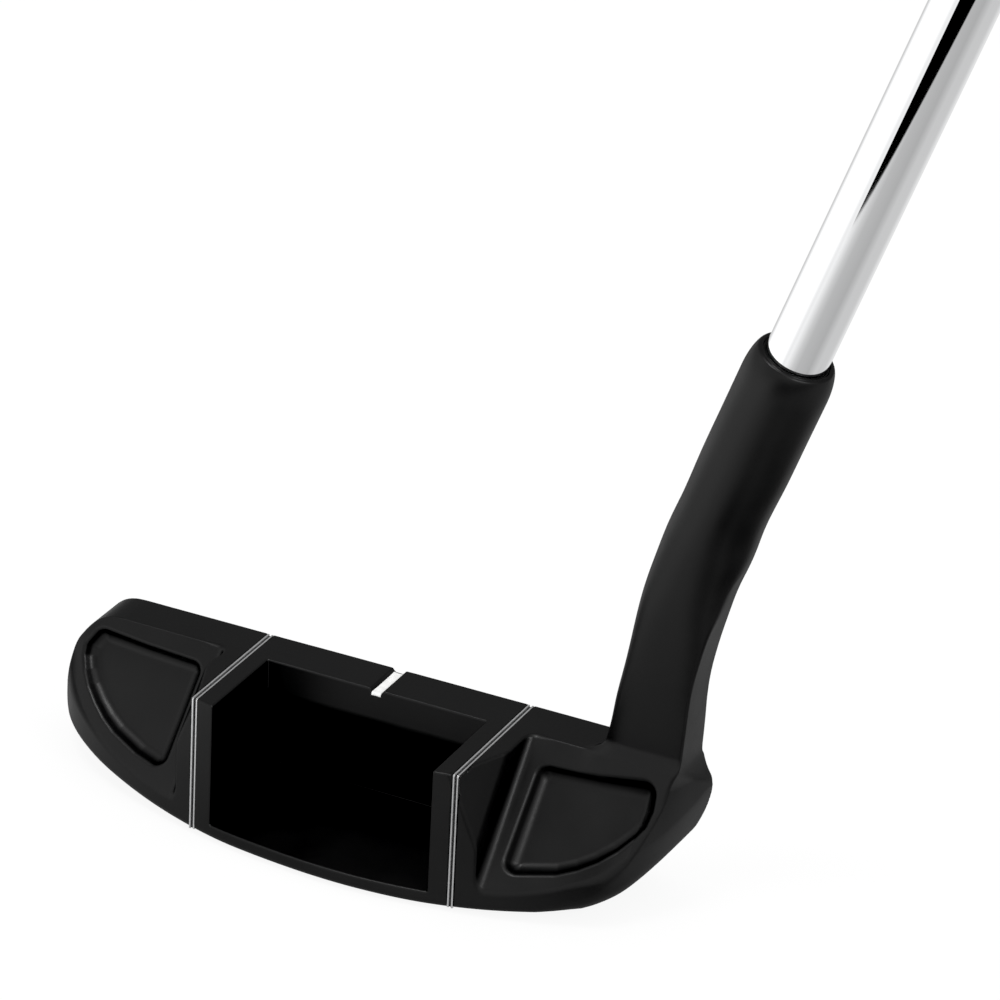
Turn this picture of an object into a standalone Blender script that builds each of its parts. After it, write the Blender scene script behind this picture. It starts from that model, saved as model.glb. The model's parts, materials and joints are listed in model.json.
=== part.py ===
"""Blade putter with a winged, hollow-backed head, a flow neck, a chrome shaft and a pistol grip.

Frame: metres, +Z up, z = 0 is the ground.  +X runs from toe to heel, +Y is the way the striking
face looks.  The origin is on the flat of the sole, in the sight line's plane and FACE_AHEAD
behind the topline's front edge.
Dimensions below are in millimetres.  The shapes are drawn with y = 0 at the topline's front edge,
and one empty carries them all forward to their place.
"""
import math

import bmesh
import bpy
from mathutils import Matrix, Vector

MM = 0.001

# ---------------------------------------------------------------- head dimensions
HEAD_H = 22.45            # sole to topline
TOPLINE_W = 7.0           # width of the topline in Y
FACE_AHEAD = 12.0         # topline's front edge, ahead of the origin
LOFT = 3.5                # degrees the face leans back
BLANK_FRONT = 6.0         # front of the head blank before the face is cut
SOLE_FLAT = 14.0          # half length of the flat in the middle of the sole
SOLE_CAMBER = 165.0       # heel-toe radius of the sole beyond the flat
SOLE_EDGE_R = 1.3         # rounding between sole and rear wall
SOLE_EDGE_GROWTH = 2.2    # added to that rounding towards the heel ...
SOLE_EDGE_X = 34.0        # ... from here ...
SOLE_EDGE_RUN = 12.0      # ... over this length
TOP_EDGE_R = 0.25         # rounding between rear wall and top
TOP_EDGE_GROWTH = 2.6     # added to that rounding at the two ends
TOE_END = (44.0, 13.8)    # where that growth starts, from the centre plane, and its length
HEEL_END = (47.0, 4.5)
WALL_DRAFT = 0.5          # how far the rear wall leans in over the full height
LIP_Y = -24.1             # straight rear edge of the cavity floor
LIP_Z = 2.46              # thickness of the cavity floor

# rear outline seen from above, toe to heel (x, y)
REAR_OUTLINE = [
    (-57.5, 1.0), (-55.8, -3.6), (-50.6, -10.4), (-44.0, -15.4), (-35.6, -19.4),
    (-25.5, -22.6), (-14.0, -25.1), (0.0, -26.4), (12.0, -25.9), (24.0, -23.7),
    (35.0, -20.6), (43.2, -16.8), (48.2, -12.2), (50.7, -6.6), (51.5, 1.0)]
# upper and lower edges of the toe and heel ends (x, z)
TOE_TOP = [
    (-57.5, 7.4), (-56.6, 8.6), (-54.8, 11.4), (-52.8, 14.6),
    (-50.7, 17.4), (-48.1, 20.3), (-46.1, 21.7), (-43.4, HEAD_H)]
TOE_LOW = [(-57.5, 7.0), (-57.2, 5.9), (-56.0, 5.35), (-54.0, 4.9), (-52.0, 4.4)]
HEEL_LOW = [
    (40.0, 2.05), (42.0, 2.9), (44.2, 4.3), (46.2, 6.4),
    (48.3, 9.3), (50.0, 12.4), (51.2, 15.6), (51.5, 17.2)]
HEEL_TOP = [(49.4, HEAD_H), (50.2, 21.4), (51.0, 19.8), (51.5, 18.2)]

# ---------------------------------------------------------------- wings, ramps, pockets, sight line
CAVITY_HALF = 18.45       # half width of the centre cavity
WING_OUT = 25.45          # outer side of each wing
GROOVE_X = 21.9           # centre of each wing's alignment groove
GROOVE_W = 1.05
GROOVE_D = 0.55
INLAY_GAP = 0.06          # between an inlay and its groove
INLAY_SUNK = 0.03         # inlay below the wing's surface
INLAY_LOW = 1.35          # height of the inlay's lower end
CHANNEL_INSET = 0.34      # groove's side to the side of the channel in the inlay
CHANNEL_D = 0.28
RAMP_FOOT = 3.7           # height of the rim where a ramp meets its wing
RAMP_RISE_TOE = 0.0105    # rim height gained per mm squared beyond the wing
RAMP_RISE_HEEL = 0.0145
RAMP_MIN_RUN = 2.5        # least run of a ramp behind the topline
POCKET_DEPTH = 1.7
POCKET_CORNER = 2.2       # rounding length at the corners of a pocket's outline
POCKET_SPREAD = 24.0      # mm that stand for a full ramp length while an outline is drawn
# layers of a pocket cutter (lift off the ramp, inset of the outline)
POCKET_LAYERS = [
    (3.0, 0.0), (0.0, 0.0), (-0.35, 0.156), (-0.6 * POCKET_DEPTH, 0.585),
    (-POCKET_DEPTH + 0.3, 1.105), (-POCKET_DEPTH, 1.95)]
# pocket corners (distance from the centre plane, share of the ramp's length)
TOE_POCKET = [
    (28.6, 0.13), (38.5, 0.13), (47.4, 0.12), (48.4, 0.34), (47.4, 0.62),
    (43.8, 0.76), (39.5, 0.82), (35.0, 0.83), (29.2, 0.83)]
HEEL_POCKET = [
    (28.2, 0.16), (38.0, 0.16), (46.6, 0.15), (47.0, 0.42),
    (45.6, 0.70), (41.6, 0.81), (36.0, 0.84), (28.2, 0.82)]
SIGHT_W = 1.5             # white line
SIGHT_NOTCH = 2.6         # width of the notch it sits in
SIGHT_NOTCH_D = 0.7
SIGHT_END_GAP = 0.25      # line's ends, inside the topline's edges
SIGHT_FLOOR_GAP = 0.06    # between the line and the notch's floor
SIGHT_SUNK = 0.15         # line's top, below the topline

# ---------------------------------------------------------------- neck and hosel
LIE = 70.0                # degrees between shaft and ground
AXIS_X0 = 28.35           # where the shaft's axis meets the ground
MOUTH_S = 95.3            # distance along the axis from the ground to the hosel's mouth
HOSEL_R = 6.58
MOUTH_R = 5.3             # the hosel rounds in to this at its mouth
MOUTH_ROUND_L = 4.8       # length of that rounding along the axis
MOUTH_ROUND_STEPS = 6
BORE_R = 5.0
BORE_DEPTH = 31.0
NECK_POINTS = 32
NECK_BEND_Z = 34.0        # sections start to tilt towards the shaft here ...
NECK_BEND_RUN = 28.5      # ... and reach its angle over this height
NECK_BEND_POWER = 1.3     # eases the tilt in
# neck sections (height, toe-side x, heel-side x, rear y, front y, squareness)
NECK = [
    (9.0, 37.5, 46.0, -8.0, -1.6, 4.5), (13.0, 37.0, 48.0, -9.4, -1.2, 4.5),
    (16.0, 36.2, 49.3, -9.9, -0.9, 4.5), (19.0, 35.6, 49.8, -9.0, -0.6, 4.6),
    (21.8, 35.3, 49.8, -8.25, -0.3, 4.6), (22.9, 36.0, 50.2, -8.0, -0.1, 4.6),
    (24.4, 36.9, 50.4, -7.75, 0.0, 4.5), (27.5, 37.6, 50.5, -7.4, 0.0, 4.4),
    (31.5, 38.3, 50.7, -7.15, 0.1, 4.2), (36.0, 39.3, 51.1, -7.0, 0.5, 3.8),
    (40.5, 40.1, 51.7, -6.9, 1.2, 3.4), (45.0, 40.9, 52.6, -6.8, 2.3, 3.0),
    (49.5, 41.7, 53.6, -6.7, 3.6, 2.6), (54.0, 42.6, 55.0, -6.6, 5.0, 2.3),
    (58.5, 43.45, 56.75, -6.55, 6.05, 2.1), (62.5, 44.3, 57.98, -6.48, 6.44, 2.0)]
# straight part of the hosel (distance along the axis, radius)
HOSEL = [(72.0, 6.50), (80.0, 6.54), (86.0, HOSEL_R)]

# ---------------------------------------------------------------- shaft and grip
LENGTH = 864.0            # along the axis, ground to butt
GRIP_L = 267.0
CAP_T = 4.0
GAP = 0.12                # clearance between shaft, tape, sleeve and cap
GRIP_LOW = LENGTH - GRIP_L
GRIP_TOP = LENGTH - CAP_T
SHAFT_TIP_R = 4.70
SHAFT_BUTT_R = 7.37
SHAFT_WALL = 0.9
SHAFT_TIP = MOUTH_S - BORE_DEPTH + 1.0
SHAFT_TOP = GRIP_TOP - 1.0
TAPER_START = MOUTH_S + 260.0
TAPER_END = GRIP_TOP - 0.9 * GRIP_L
SHAFT_STEPS = 48
BORE_STEPS = 32
EPOXY_TOP = MOUTH_S - 1.7
EPOXY_LOW = SHAFT_TIP + 0.2
EPOXY_GAP = 0.05          # clearance to the bore and to the shaft
TAPE_T = 0.25
TAPE_LOW = GRIP_LOW + 6.0
TAPE_TOP = GRIP_TOP - 2.0
SLEEVE_GAP = 2 * GAP + TAPE_T + 0.05    # from the shaft to the sleeve's inner wall
GRIP_POINTS = 40
THUMB_FLAT = 1.16         # the thumb side is drawn this much too deep, then cut off flat
# grip sections
# (share of the grip's length up from its mouth, half width, thumb side, palm side, squareness)
GRIP = [
    (0.0, 9.6, 9.3, 9.3, 2.0), (0.012, 10.2, 9.9, 9.9, 2.05), (0.10, 10.6, 9.9, 10.6, 2.2),
    (0.25, 11.2, 9.9, 11.3, 2.4), (0.45, 11.9, 9.9, 12.2, 2.5), (0.62, 12.2, 9.9, 13.0, 2.5),
    (0.75, 12.3, 9.9, 14.2, 2.45), (0.85, 12.5, 9.9, 16.0, 2.4), (0.92, 12.7, 9.9, 17.3, 2.35),
    (0.97, 12.8, 9.9, 17.6, 2.3), (1.0, 12.8, 9.9, 17.4, 2.3)]
# end cap sections (distance below the butt, half width, thumb side, palm side)
CAP = [
    (CAP_T - GAP, 12.75, 9.85, 17.3), (1.6, 12.7, 9.8, 17.2),
    (0.5, 12.1, 9.3, 16.5), (0.0, 10.9, 8.3, 15.2)]
CAP_SQUARENESS = 2.3
CAP_HOLE_R = 1.0

LEAN = math.radians(90 - LIE)           # shaft's angle from upright
AXIS = Vector((math.cos(math.radians(LIE)), 0.0, math.sin(math.radians(LIE))))
THUMB = Vector((-math.sin(math.radians(LIE)), 0.0, math.cos(math.radians(LIE))))
SIDE = Vector((0.0, 1.0, 0.0))
GROUND = Vector((AXIS_X0, 0.0, 0.0))    # foot of the shaft's axis


# ---------------------------------------------------------------- scene and materials
for old in list(bpy.data.objects):
    bpy.data.objects.remove(old, do_unlink=True)


def collection(name):
    made = bpy.data.collections.new(name)
    bpy.context.scene.collection.children.link(made)
    return made


def material(name, colour, roughness, metallic=0.0):
    mat = bpy.data.materials.new(name)
    mat.use_nodes = True
    shader = mat.node_tree.nodes["Principled BSDF"]
    shader.inputs["Base Color"].default_value = (*colour, 1.0)
    shader.inputs["Roughness"].default_value = roughness
    shader.inputs["Metallic"].default_value = metallic
    return mat


parts = collection("blade_putter")
cutters = collection("cutters")
carrier = bpy.data.objects.new("sole_origin", None)
carrier.location = (0.0, FACE_AHEAD * MM, 0.0)
carrier.empty_display_size = 0.02
parts.objects.link(carrier)

BLACK_PAINT = material("satin_black_paint", colour=(0.012, 0.012, 0.013), roughness=0.38)
WHITE_PAINT = material("white_enamel", colour=(0.85, 0.85, 0.84), roughness=0.35)
BRIGHT = material("bright_aluminium", colour=(0.80, 0.80, 0.81), roughness=0.22, metallic=1.0)
CHROME = material("chrome_plate", colour=(0.86, 0.87, 0.88), roughness=0.06, metallic=1.0)
EPOXY = material("black_epoxy", colour=(0.02, 0.02, 0.02), roughness=0.30)
TAPE = material("crepe_tape", colour=(0.72, 0.66, 0.52), roughness=0.85)
RUBBER = material("black_rubber", colour=(0.022, 0.022, 0.023), roughness=0.72)
CAP_RUBBER = material("cap_rubber", colour=(0.030, 0.030, 0.031), roughness=0.60)


# ---------------------------------------------------------------- mesh helpers
def new_object(name, mesh, mat):
    """Place a mesh under the carrier; one without a material is a hidden boolean operand."""
    obj = bpy.data.objects.new(name, mesh)
    obj.parent = carrier
    if mat is None:
        cutters.objects.link(obj)
        obj.hide_render = True
        obj.display_type = "WIRE"
    else:
        parts.objects.link(obj)
        mesh.materials.append(mat)
    return obj


def bmesh_object(name, bm, mat):
    bmesh.ops.recalc_face_normals(bm, faces=bm.faces[:])
    mesh = bpy.data.meshes.new(name)
    bm.to_mesh(mesh)
    bm.free()
    return new_object(name, mesh, mat)


def loft(name, sections, mat=None, ring=False):
    """Skin over equal-length closed sections in millimetres; ring joins the last to the first."""
    bm = bmesh.new()
    rows = [[bm.verts.new(Vector(point) * MM) for point in section] for section in sections]
    count = len(rows[0])
    pairs = list(zip(rows, rows[1:])) + ([(rows[-1], rows[0])] if ring else [])
    for row, following in pairs:
        for i in range(count):
            j = (i + 1) % count
            bm.faces.new((row[i], row[j], following[j], following[i]))
    if not ring:
        bm.faces.new(list(reversed(rows[0])))
        bm.faces.new(rows[-1])
    return bmesh_object(name, bm, mat)


def box(name, low, high, mat=None):
    bm = bmesh.new()
    bmesh.ops.create_cube(bm, size=1.0)
    size = [(high[i] - low[i]) * MM for i in range(3)]
    centre = [(high[i] + low[i]) / 2 * MM for i in range(3)]
    bmesh.ops.scale(bm, vec=size, verts=bm.verts)
    bmesh.ops.translate(bm, vec=centre, verts=bm.verts)
    return bmesh_object(name, bm, mat)


def turned(name, profile, steps, mat=None):
    """Solid of revolution about the shaft's axis.

    The profile of (radius, distance) runs down the outer side; it is closed if clear of the axis.
    """
    mesh = bpy.data.meshes.new(name)
    verts = [(radius * MM, 0.0, s * MM) for radius, s in profile]
    edges = [(i, i + 1) for i in range(len(verts) - 1)]
    if profile[0][0] > 1e-6 and profile[-1][0] > 1e-6:
        edges.append((len(verts) - 1, 0))
    mesh.from_pydata(verts, edges, [])
    obj = new_object(name, mesh, mat)
    screw = obj.modifiers.new("turn", "SCREW")
    screw.axis = "Z"
    screw.steps = steps
    screw.render_steps = steps
    screw.use_merge_vertices = True
    screw.merge_threshold = 0.00001
    screw.use_smooth_shade = True
    obj.location = GROUND * MM
    obj.rotation_euler = (0.0, LEAN, 0.0)
    return obj


def boolean(obj, other, operation="DIFFERENCE"):
    mod = obj.modifiers.new(operation.lower() + "_" + other.name, "BOOLEAN")
    mod.operation = operation
    mod.solver = "EXACT"
    mod.object = other


def smooth(obj, angle):
    obj.data.shade_smooth()
    obj.data.set_sharp_from_angle(angle=math.radians(angle))


# ---------------------------------------------------------------- curve helpers
def spline(points, per_span):
    """Catmull-Rom curve through 2D points, as a list of pairs."""
    curve = []
    pts = [Vector(p) for p in points]
    pts = [pts[0] * 2 - pts[1]] + pts + [pts[-1] * 2 - pts[-2]]
    for k in range(1, len(pts) - 2):
        p0, p1, p2, p3 = pts[k - 1:k + 3]
        for i in range(per_span):
            t = i / per_span
            curve.append(0.5 * ((2 * p1) + (p2 - p0) * t + (2 * p0 - 5 * p1 + 4 * p2 - p3) * t * t
                                + (3 * p1 - p0 - 3 * p2 + p3) * t ** 3))
    curve.append(pts[-2])
    return [(p.x, p.y) for p in curve]


def read_table(table, x):
    """Linear reading of a table of (x, value) sorted by x, held constant beyond its ends."""
    if x <= table[0][0]:
        return table[0][1]
    for (x0, value0), (x1, value1) in zip(table, table[1:]):
        if x <= x1:
            return value0 + (value1 - value0) * (x - x0) / (x1 - x0)
    return table[-1][1]


def share(value, start, run):
    """How far value has got along the run from start, held between 0 and 1."""
    return min(1.0, max(0.0, (value - start) / run))


def evenly(start, end, spans):
    return [start + (end - start) * i / spans for i in range(spans + 1)]


def directions(count):
    """(cosine, sine) pairs round a circle, half a step off the axes."""
    angles = [2 * math.pi * (k + 0.5) / count for k in range(count)]
    return [(math.cos(a), math.sin(a)) for a in angles]


def squared(wave, squareness):
    """Superellipse form of a cosine or sine; a squareness of 2 leaves it round."""
    return math.copysign(abs(wave) ** (2 / squareness), wave)


# ---------------------------------------------------------------- head shape functions
REAR_CURVE = spline(REAR_OUTLINE, per_span=6)
TOE_TOP_CURVE = spline(TOE_TOP, per_span=4)


def rear_y(x):
    return read_table(REAR_CURVE, x)


# (x, rear y) of the head's sections, with one on each side of the cavity
STATIONS = sorted([point for point in REAR_CURVE if abs(abs(point[0]) - CAVITY_HALF) > 0.6]
                  + [(x, rear_y(x)) for x in (-CAVITY_HALF, CAVITY_HALF)])


def sole_z(x):
    z = max(0.0, abs(x) - SOLE_FLAT) ** 2 / (2 * SOLE_CAMBER)
    if x < TOE_LOW[-1][0]:
        z = max(z, read_table(TOE_LOW, x))
    if x > HEEL_LOW[0][0]:
        z = max(z, read_table(HEEL_LOW, x))
    return z


def top_z(x):
    if x < TOE_TOP[-1][0]:
        return read_table(TOE_TOP_CURVE, x)
    return read_table(HEEL_TOP, x)


def ramp_point(x, t, lift=0.0):
    """Point of the ruled ramp at x: t = 0 on the topline's rear edge, t = 1 on the rear rim."""
    rise = RAMP_RISE_TOE if x < 0 else RAMP_RISE_HEEL
    rim_z = RAMP_FOOT + rise * max(0.0, abs(x) - WING_OUT) ** 2
    run_y = min(rear_y(x), -TOPLINE_W - RAMP_MIN_RUN) + TOPLINE_W
    run_z = rim_z - HEAD_H
    length = math.hypot(run_y, run_z)
    return Vector((x, -TOPLINE_W + run_y * t + run_z / length * lift,
                   HEAD_H + run_z * t - run_y / length * lift))


def head_section(x, wall_y):
    """Closed section across the head at x, whose rear wall stands at wall_y."""
    low, high = sole_z(x), top_z(x)
    tall = high - low
    sole_r = min(SOLE_EDGE_R + SOLE_EDGE_GROWTH * share(x, SOLE_EDGE_X, SOLE_EDGE_RUN),
                 tall * 0.35)
    end = max(0.0, (-x - TOE_END[0]) / TOE_END[1], (x - HEEL_END[0]) / HEEL_END[1])
    top_r = min(TOP_EDGE_R + TOP_EDGE_GROWTH * end, tall * 0.4)

    # one point part-way up the wall; behind the cavity it is the lip of the floor
    in_cavity = abs(x) < CAVITY_HALF + 0.01
    if in_cavity:
        knee_z = low + max(sole_r, min(LIP_Z - low, tall * 0.5))
    else:
        knee_z = low + sole_r + 0.4 * (tall - sole_r - top_r)
    knee_y = wall_y + WALL_DRAFT * (knee_z - low) / HEAD_H
    if in_cavity:
        knee_y = max(knee_y, LIP_Y)
    top_y = wall_y + WALL_DRAFT * tall / HEAD_H

    section = [(x, BLANK_FRONT + (wall_y + sole_r - BLANK_FRONT) * part, low)
               for part in (0.0, 0.4, 0.75)]
    for k in range(5):
        a = math.pi / 2 * k / 4
        section.append((x, wall_y + sole_r - sole_r * math.sin(a),
                        low + sole_r - sole_r * math.cos(a)))
    section.append((x, knee_y, knee_z))
    for k in range(4):
        a = math.pi / 2 * k / 3
        section.append((x, top_y + top_r - top_r * math.cos(a),
                        high - top_r + top_r * math.sin(a)))
    section.append((x, BLANK_FRONT, high))
    return section


# ---------------------------------------------------------------- cutters and neck of the head
def face_cutter():
    """Block ahead of the face plane, leaning back about the topline's front edge."""
    cutter = box("cut_face", (-80, 0, -40), (80, 40, 60))
    cutter.data.transform(Matrix.Translation((0, 0, HEAD_H * MM))
                          @ Matrix.Rotation(math.radians(LOFT), 4, "X")
                          @ Matrix.Translation((0, 0, -HEAD_H * MM)))
    return cutter


def ramp_cutter(name, x0, x1):
    """Everything above the ramp from x0 to x1, run on past the topline edge and the rim."""
    sections = []
    for x in [x0] + [x for x, _ in STATIONS if x0 + 0.3 < x < x1 - 0.3] + [x1]:
        above = ramp_point(x, -0.9)
        edge = ramp_point(x, 0.0)
        below = ramp_point(x, 1.9)
        back_y = below.y - 6
        sections.append([above, edge, below, (x, back_y, below.z), (x, back_y, above.z)])
    return loft(name, sections)


def cavity_cutter():
    return box("cut_cavity", (-CAVITY_HALF, -60, LIP_Z), (CAVITY_HALF, -TOPLINE_W, 60))


def superellipse(centre, across, half_across, half_side, squareness):
    return [centre + across * (half_across * squared(c, squareness))
            + SIDE * (half_side * squared(s, squareness))
            for c, s in directions(NECK_POINTS)]


def neck_blank():
    """Neck that grows out of the heel and turns into the hosel along the shaft's axis."""
    sections = []
    for z, toe_x, heel_x, back_y, front_y, squareness in NECK:
        tilt = LEAN * share(z, NECK_BEND_Z, NECK_BEND_RUN) ** NECK_BEND_POWER
        centre = Vector(((toe_x + heel_x) / 2, (back_y + front_y) / 2, z))
        across = Vector((math.cos(tilt), 0, -math.sin(tilt)))
        sections.append(superellipse(centre, across, (heel_x - toe_x) / 2 * math.cos(tilt),
                                     (front_y - back_y) / 2, squareness))
    hosel = list(HOSEL)
    for a in evenly(0.0, math.pi / 2, MOUTH_ROUND_STEPS):
        hosel.append((MOUTH_S - MOUTH_ROUND_L * (1 - math.sin(a)),
                      MOUTH_R + (HOSEL_R - MOUTH_R) * math.cos(a)))
    for s, radius in hosel:
        sections.append(superellipse(GROUND + AXIS * s, -THUMB, radius, radius, 2.0))
    return loft("neck_blank", sections)


def bore_cutter():
    top, bottom = MOUTH_S + 12, MOUTH_S - BORE_DEPTH
    return turned("cut_bore", [(0.0, top), (BORE_R, top), (BORE_R, bottom), (0.0, bottom)],
                  BORE_STEPS)


def corner_round(points, radius, steps=3):
    """Closed outline with each corner replaced by a quadratic curve."""
    outline = []
    for i, corner in enumerate(points):
        back = points[i - 1] - corner
        ahead = points[(i + 1) % len(points)] - corner
        cut = min(radius, back.length * 0.45, ahead.length * 0.45)
        start = corner + back.normalized() * cut
        end = corner + ahead.normalized() * cut
        for k in range(steps + 1):
            t = k / steps
            outline.append(start * (1 - t) ** 2 + corner * 2 * t * (1 - t) + end * t * t)
    return outline


def pocket_cutter(name, side, corners):
    """Cutter for a pocket that follows the ramp; side is -1 at the toe, 1 at the heel."""
    outline = [Vector((side * x, t * POCKET_SPREAD, 0)) for x, t in corners]
    centre = sum(outline, Vector()) / len(outline)
    outline = corner_round(outline, POCKET_CORNER)
    sections = []
    for lift, inset in POCKET_LAYERS:
        section = []
        for point in outline:
            arm = point - centre
            moved = centre + arm * (1 - inset / max(arm.length, 1.0))
            section.append(ramp_point(moved.x, moved.y / POCKET_SPREAD, lift))
        sections.append(section)
    return loft(name, sections)


def rail(name, centre_x, half_width, depth, proud=1.0, low_z=-1.0, front_y=0.8, mat=None):
    """Bar that lies along a wing's top and turns down its rear face; the defaults overshoot."""
    wall_y = rear_y(centre_x)
    top_y = wall_y + WALL_DRAFT
    low_y = wall_y + WALL_DRAFT * low_z / HEAD_H
    profile = [(front_y, HEAD_H + proud), (top_y - proud, HEAD_H + proud), (low_y - proud, low_z),
               (low_y + depth, low_z), (top_y + depth, HEAD_H - depth), (front_y, HEAD_H - depth)]
    return loft(name, [[(x, y, z) for y, z in profile]
                       for x in (centre_x - half_width, centre_x + half_width)], mat)


def groove_cutter(tag, centre_x):
    return rail("cut_groove_" + tag, centre_x, GROOVE_W / 2, GROOVE_D)


def sight_cutter():
    return box("cut_sight", (-SIGHT_NOTCH / 2, -TOPLINE_W - 1, HEAD_H - SIGHT_NOTCH_D),
               (SIGHT_NOTCH / 2, 2, HEAD_H + 3))


# ---------------------------------------------------------------- head pieces
def build_head():
    head = loft("head_casting", [head_section(x, y) for x, y in STATIONS], BLACK_PAINT)
    boolean(head, face_cutter())
    boolean(head, ramp_cutter("cut_ramp_toe", -64.0, -WING_OUT))
    boolean(head, ramp_cutter("cut_ramp_heel", WING_OUT, 58.0))
    boolean(head, cavity_cutter())
    boolean(head, neck_blank(), "UNION")
    boolean(head, bore_cutter())
    boolean(head, pocket_cutter("cut_pocket_toe", -1, TOE_POCKET))
    boolean(head, pocket_cutter("cut_pocket_heel", 1, HEEL_POCKET))
    boolean(head, groove_cutter("toe", -GROOVE_X))
    boolean(head, groove_cutter("heel", GROOVE_X))
    boolean(head, sight_cutter())
    smooth(head, 28.0)


def build_inlay(tag, centre_x):
    """Bright strip in a wing's groove, with a channel along it."""
    inlay = rail(tag + "_alignment_inlay", centre_x, GROOVE_W / 2 - INLAY_GAP,
                 GROOVE_D - INLAY_GAP, proud=-INLAY_SUNK, low_z=INLAY_LOW, front_y=-0.1, mat=BRIGHT)
    boolean(inlay, rail("cut_inlay_" + tag, centre_x, GROOVE_W / 2 - CHANNEL_INSET, CHANNEL_D))


def build_sight_line():
    box("sight_line_fill",
        (-SIGHT_W / 2, -TOPLINE_W + SIGHT_END_GAP, HEAD_H - SIGHT_NOTCH_D + SIGHT_FLOOR_GAP),
        (SIGHT_W / 2, -SIGHT_END_GAP, HEAD_H - SIGHT_SUNK), WHITE_PAINT)


# ---------------------------------------------------------------- shaft, bond and tape
def shaft_r(s):
    taper = share(s, TAPER_START, TAPER_END - TAPER_START)
    return SHAFT_TIP_R + (SHAFT_BUTT_R - SHAFT_TIP_R) * taper


def shaft_sleeve(name, distances, outer, inner, mat):
    """Tube whose outer and inner walls stand off the shaft's surface by the given amounts."""
    profile = [(shaft_r(s) + outer, s) for s in distances]
    profile += [(shaft_r(s) + inner, s) for s in reversed(distances)]
    turned(name, profile, SHAFT_STEPS, mat)


def build_epoxy():
    outer, inner = BORE_R - EPOXY_GAP, SHAFT_TIP_R + EPOXY_GAP
    turned("hosel_epoxy", [(outer, EPOXY_TOP), (outer, EPOXY_LOW),
                           (inner, EPOXY_LOW), (inner, EPOXY_TOP)], SHAFT_STEPS, EPOXY)


# ---------------------------------------------------------------- grip and cap
def grip_ring(s, half_width, thumb, palm, squareness):
    """Section of the grip: a flat facing the thumbs, a full curve under the palms."""
    ring = []
    for cosine, sine in directions(GRIP_POINTS):
        up = squared(sine, squareness)
        height = min(up * (thumb * THUMB_FLAT if up > 0 else palm), thumb)
        ring.append(GROUND + AXIS * s + THUMB * height
                    + SIDE * (half_width * squared(cosine, squareness)))
    return ring


def round_ring(s, radius):
    return [GROUND + AXIS * s + THUMB * (radius * sine) + SIDE * (radius * cosine)
            for cosine, sine in directions(GRIP_POINTS)]


def build_grip():
    outer = [grip_ring(GRIP_LOW + (GRIP_TOP - GRIP_LOW) * part, *sizes) for part, *sizes in GRIP]
    inner = [round_ring(s, shaft_r(s) + SLEEVE_GAP) for s in evenly(GRIP_TOP, GRIP_LOW, 4)]
    smooth(loft("grip_sleeve", outer + inner, RUBBER, ring=True), 35.0)


def build_cap():
    """End cap with a small hole through it along the axis."""
    outer = [grip_ring(LENGTH - below, *sizes, CAP_SQUARENESS) for below, *sizes in CAP]
    hole = [round_ring(s, CAP_HOLE_R) for s in (LENGTH, LENGTH - CAP_T + GAP)]
    smooth(loft("grip_end_cap", outer + hole, CAP_RUBBER, ring=True), 35.0)


build_head()
build_inlay("toe", -GROOVE_X)
build_inlay("heel", GROOVE_X)
build_sight_line()
shaft_sleeve("shaft_tube", evenly(SHAFT_TOP, SHAFT_TIP, 12), 0.0, -SHAFT_WALL, CHROME)
build_epoxy()
shaft_sleeve("grip_tape", evenly(TAPE_TOP, TAPE_LOW, 4), GAP + TAPE_T, GAP, TAPE)
build_grip()
build_cap()
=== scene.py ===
"""Blade putter: a filleted black head, polished shaft, moulded grip, finishes, studio and camera.

Lengths are millimetres unless a comment says otherwise; the scene itself is in metres.  In the
head's frame x runs from toe (-) to heel (+), y from rear (-) to striking face (+) and z up from the
sole, with y = 0 at the topline's front edge.  Where that edge lies, and where the shaft's axis
runs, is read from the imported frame.  A station is a distance along the shaft's axis from the ground.
"""
import json
import math

import bmesh
import bpy
import numpy as np
from mathutils import Matrix, Vector


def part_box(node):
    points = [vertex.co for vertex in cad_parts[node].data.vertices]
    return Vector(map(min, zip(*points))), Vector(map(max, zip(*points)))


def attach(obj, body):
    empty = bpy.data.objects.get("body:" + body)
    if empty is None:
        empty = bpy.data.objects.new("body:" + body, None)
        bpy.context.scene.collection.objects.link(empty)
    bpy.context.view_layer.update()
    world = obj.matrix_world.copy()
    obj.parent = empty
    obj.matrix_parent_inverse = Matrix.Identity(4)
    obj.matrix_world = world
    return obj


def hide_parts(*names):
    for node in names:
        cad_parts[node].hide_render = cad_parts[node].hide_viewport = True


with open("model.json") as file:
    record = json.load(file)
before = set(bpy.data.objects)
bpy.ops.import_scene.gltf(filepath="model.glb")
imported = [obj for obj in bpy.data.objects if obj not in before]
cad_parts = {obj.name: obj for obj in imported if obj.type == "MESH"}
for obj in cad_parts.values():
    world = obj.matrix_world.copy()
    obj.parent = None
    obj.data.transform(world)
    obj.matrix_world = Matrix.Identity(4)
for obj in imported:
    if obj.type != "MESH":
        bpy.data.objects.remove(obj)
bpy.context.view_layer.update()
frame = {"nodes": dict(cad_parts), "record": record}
MM = 0.001

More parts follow.
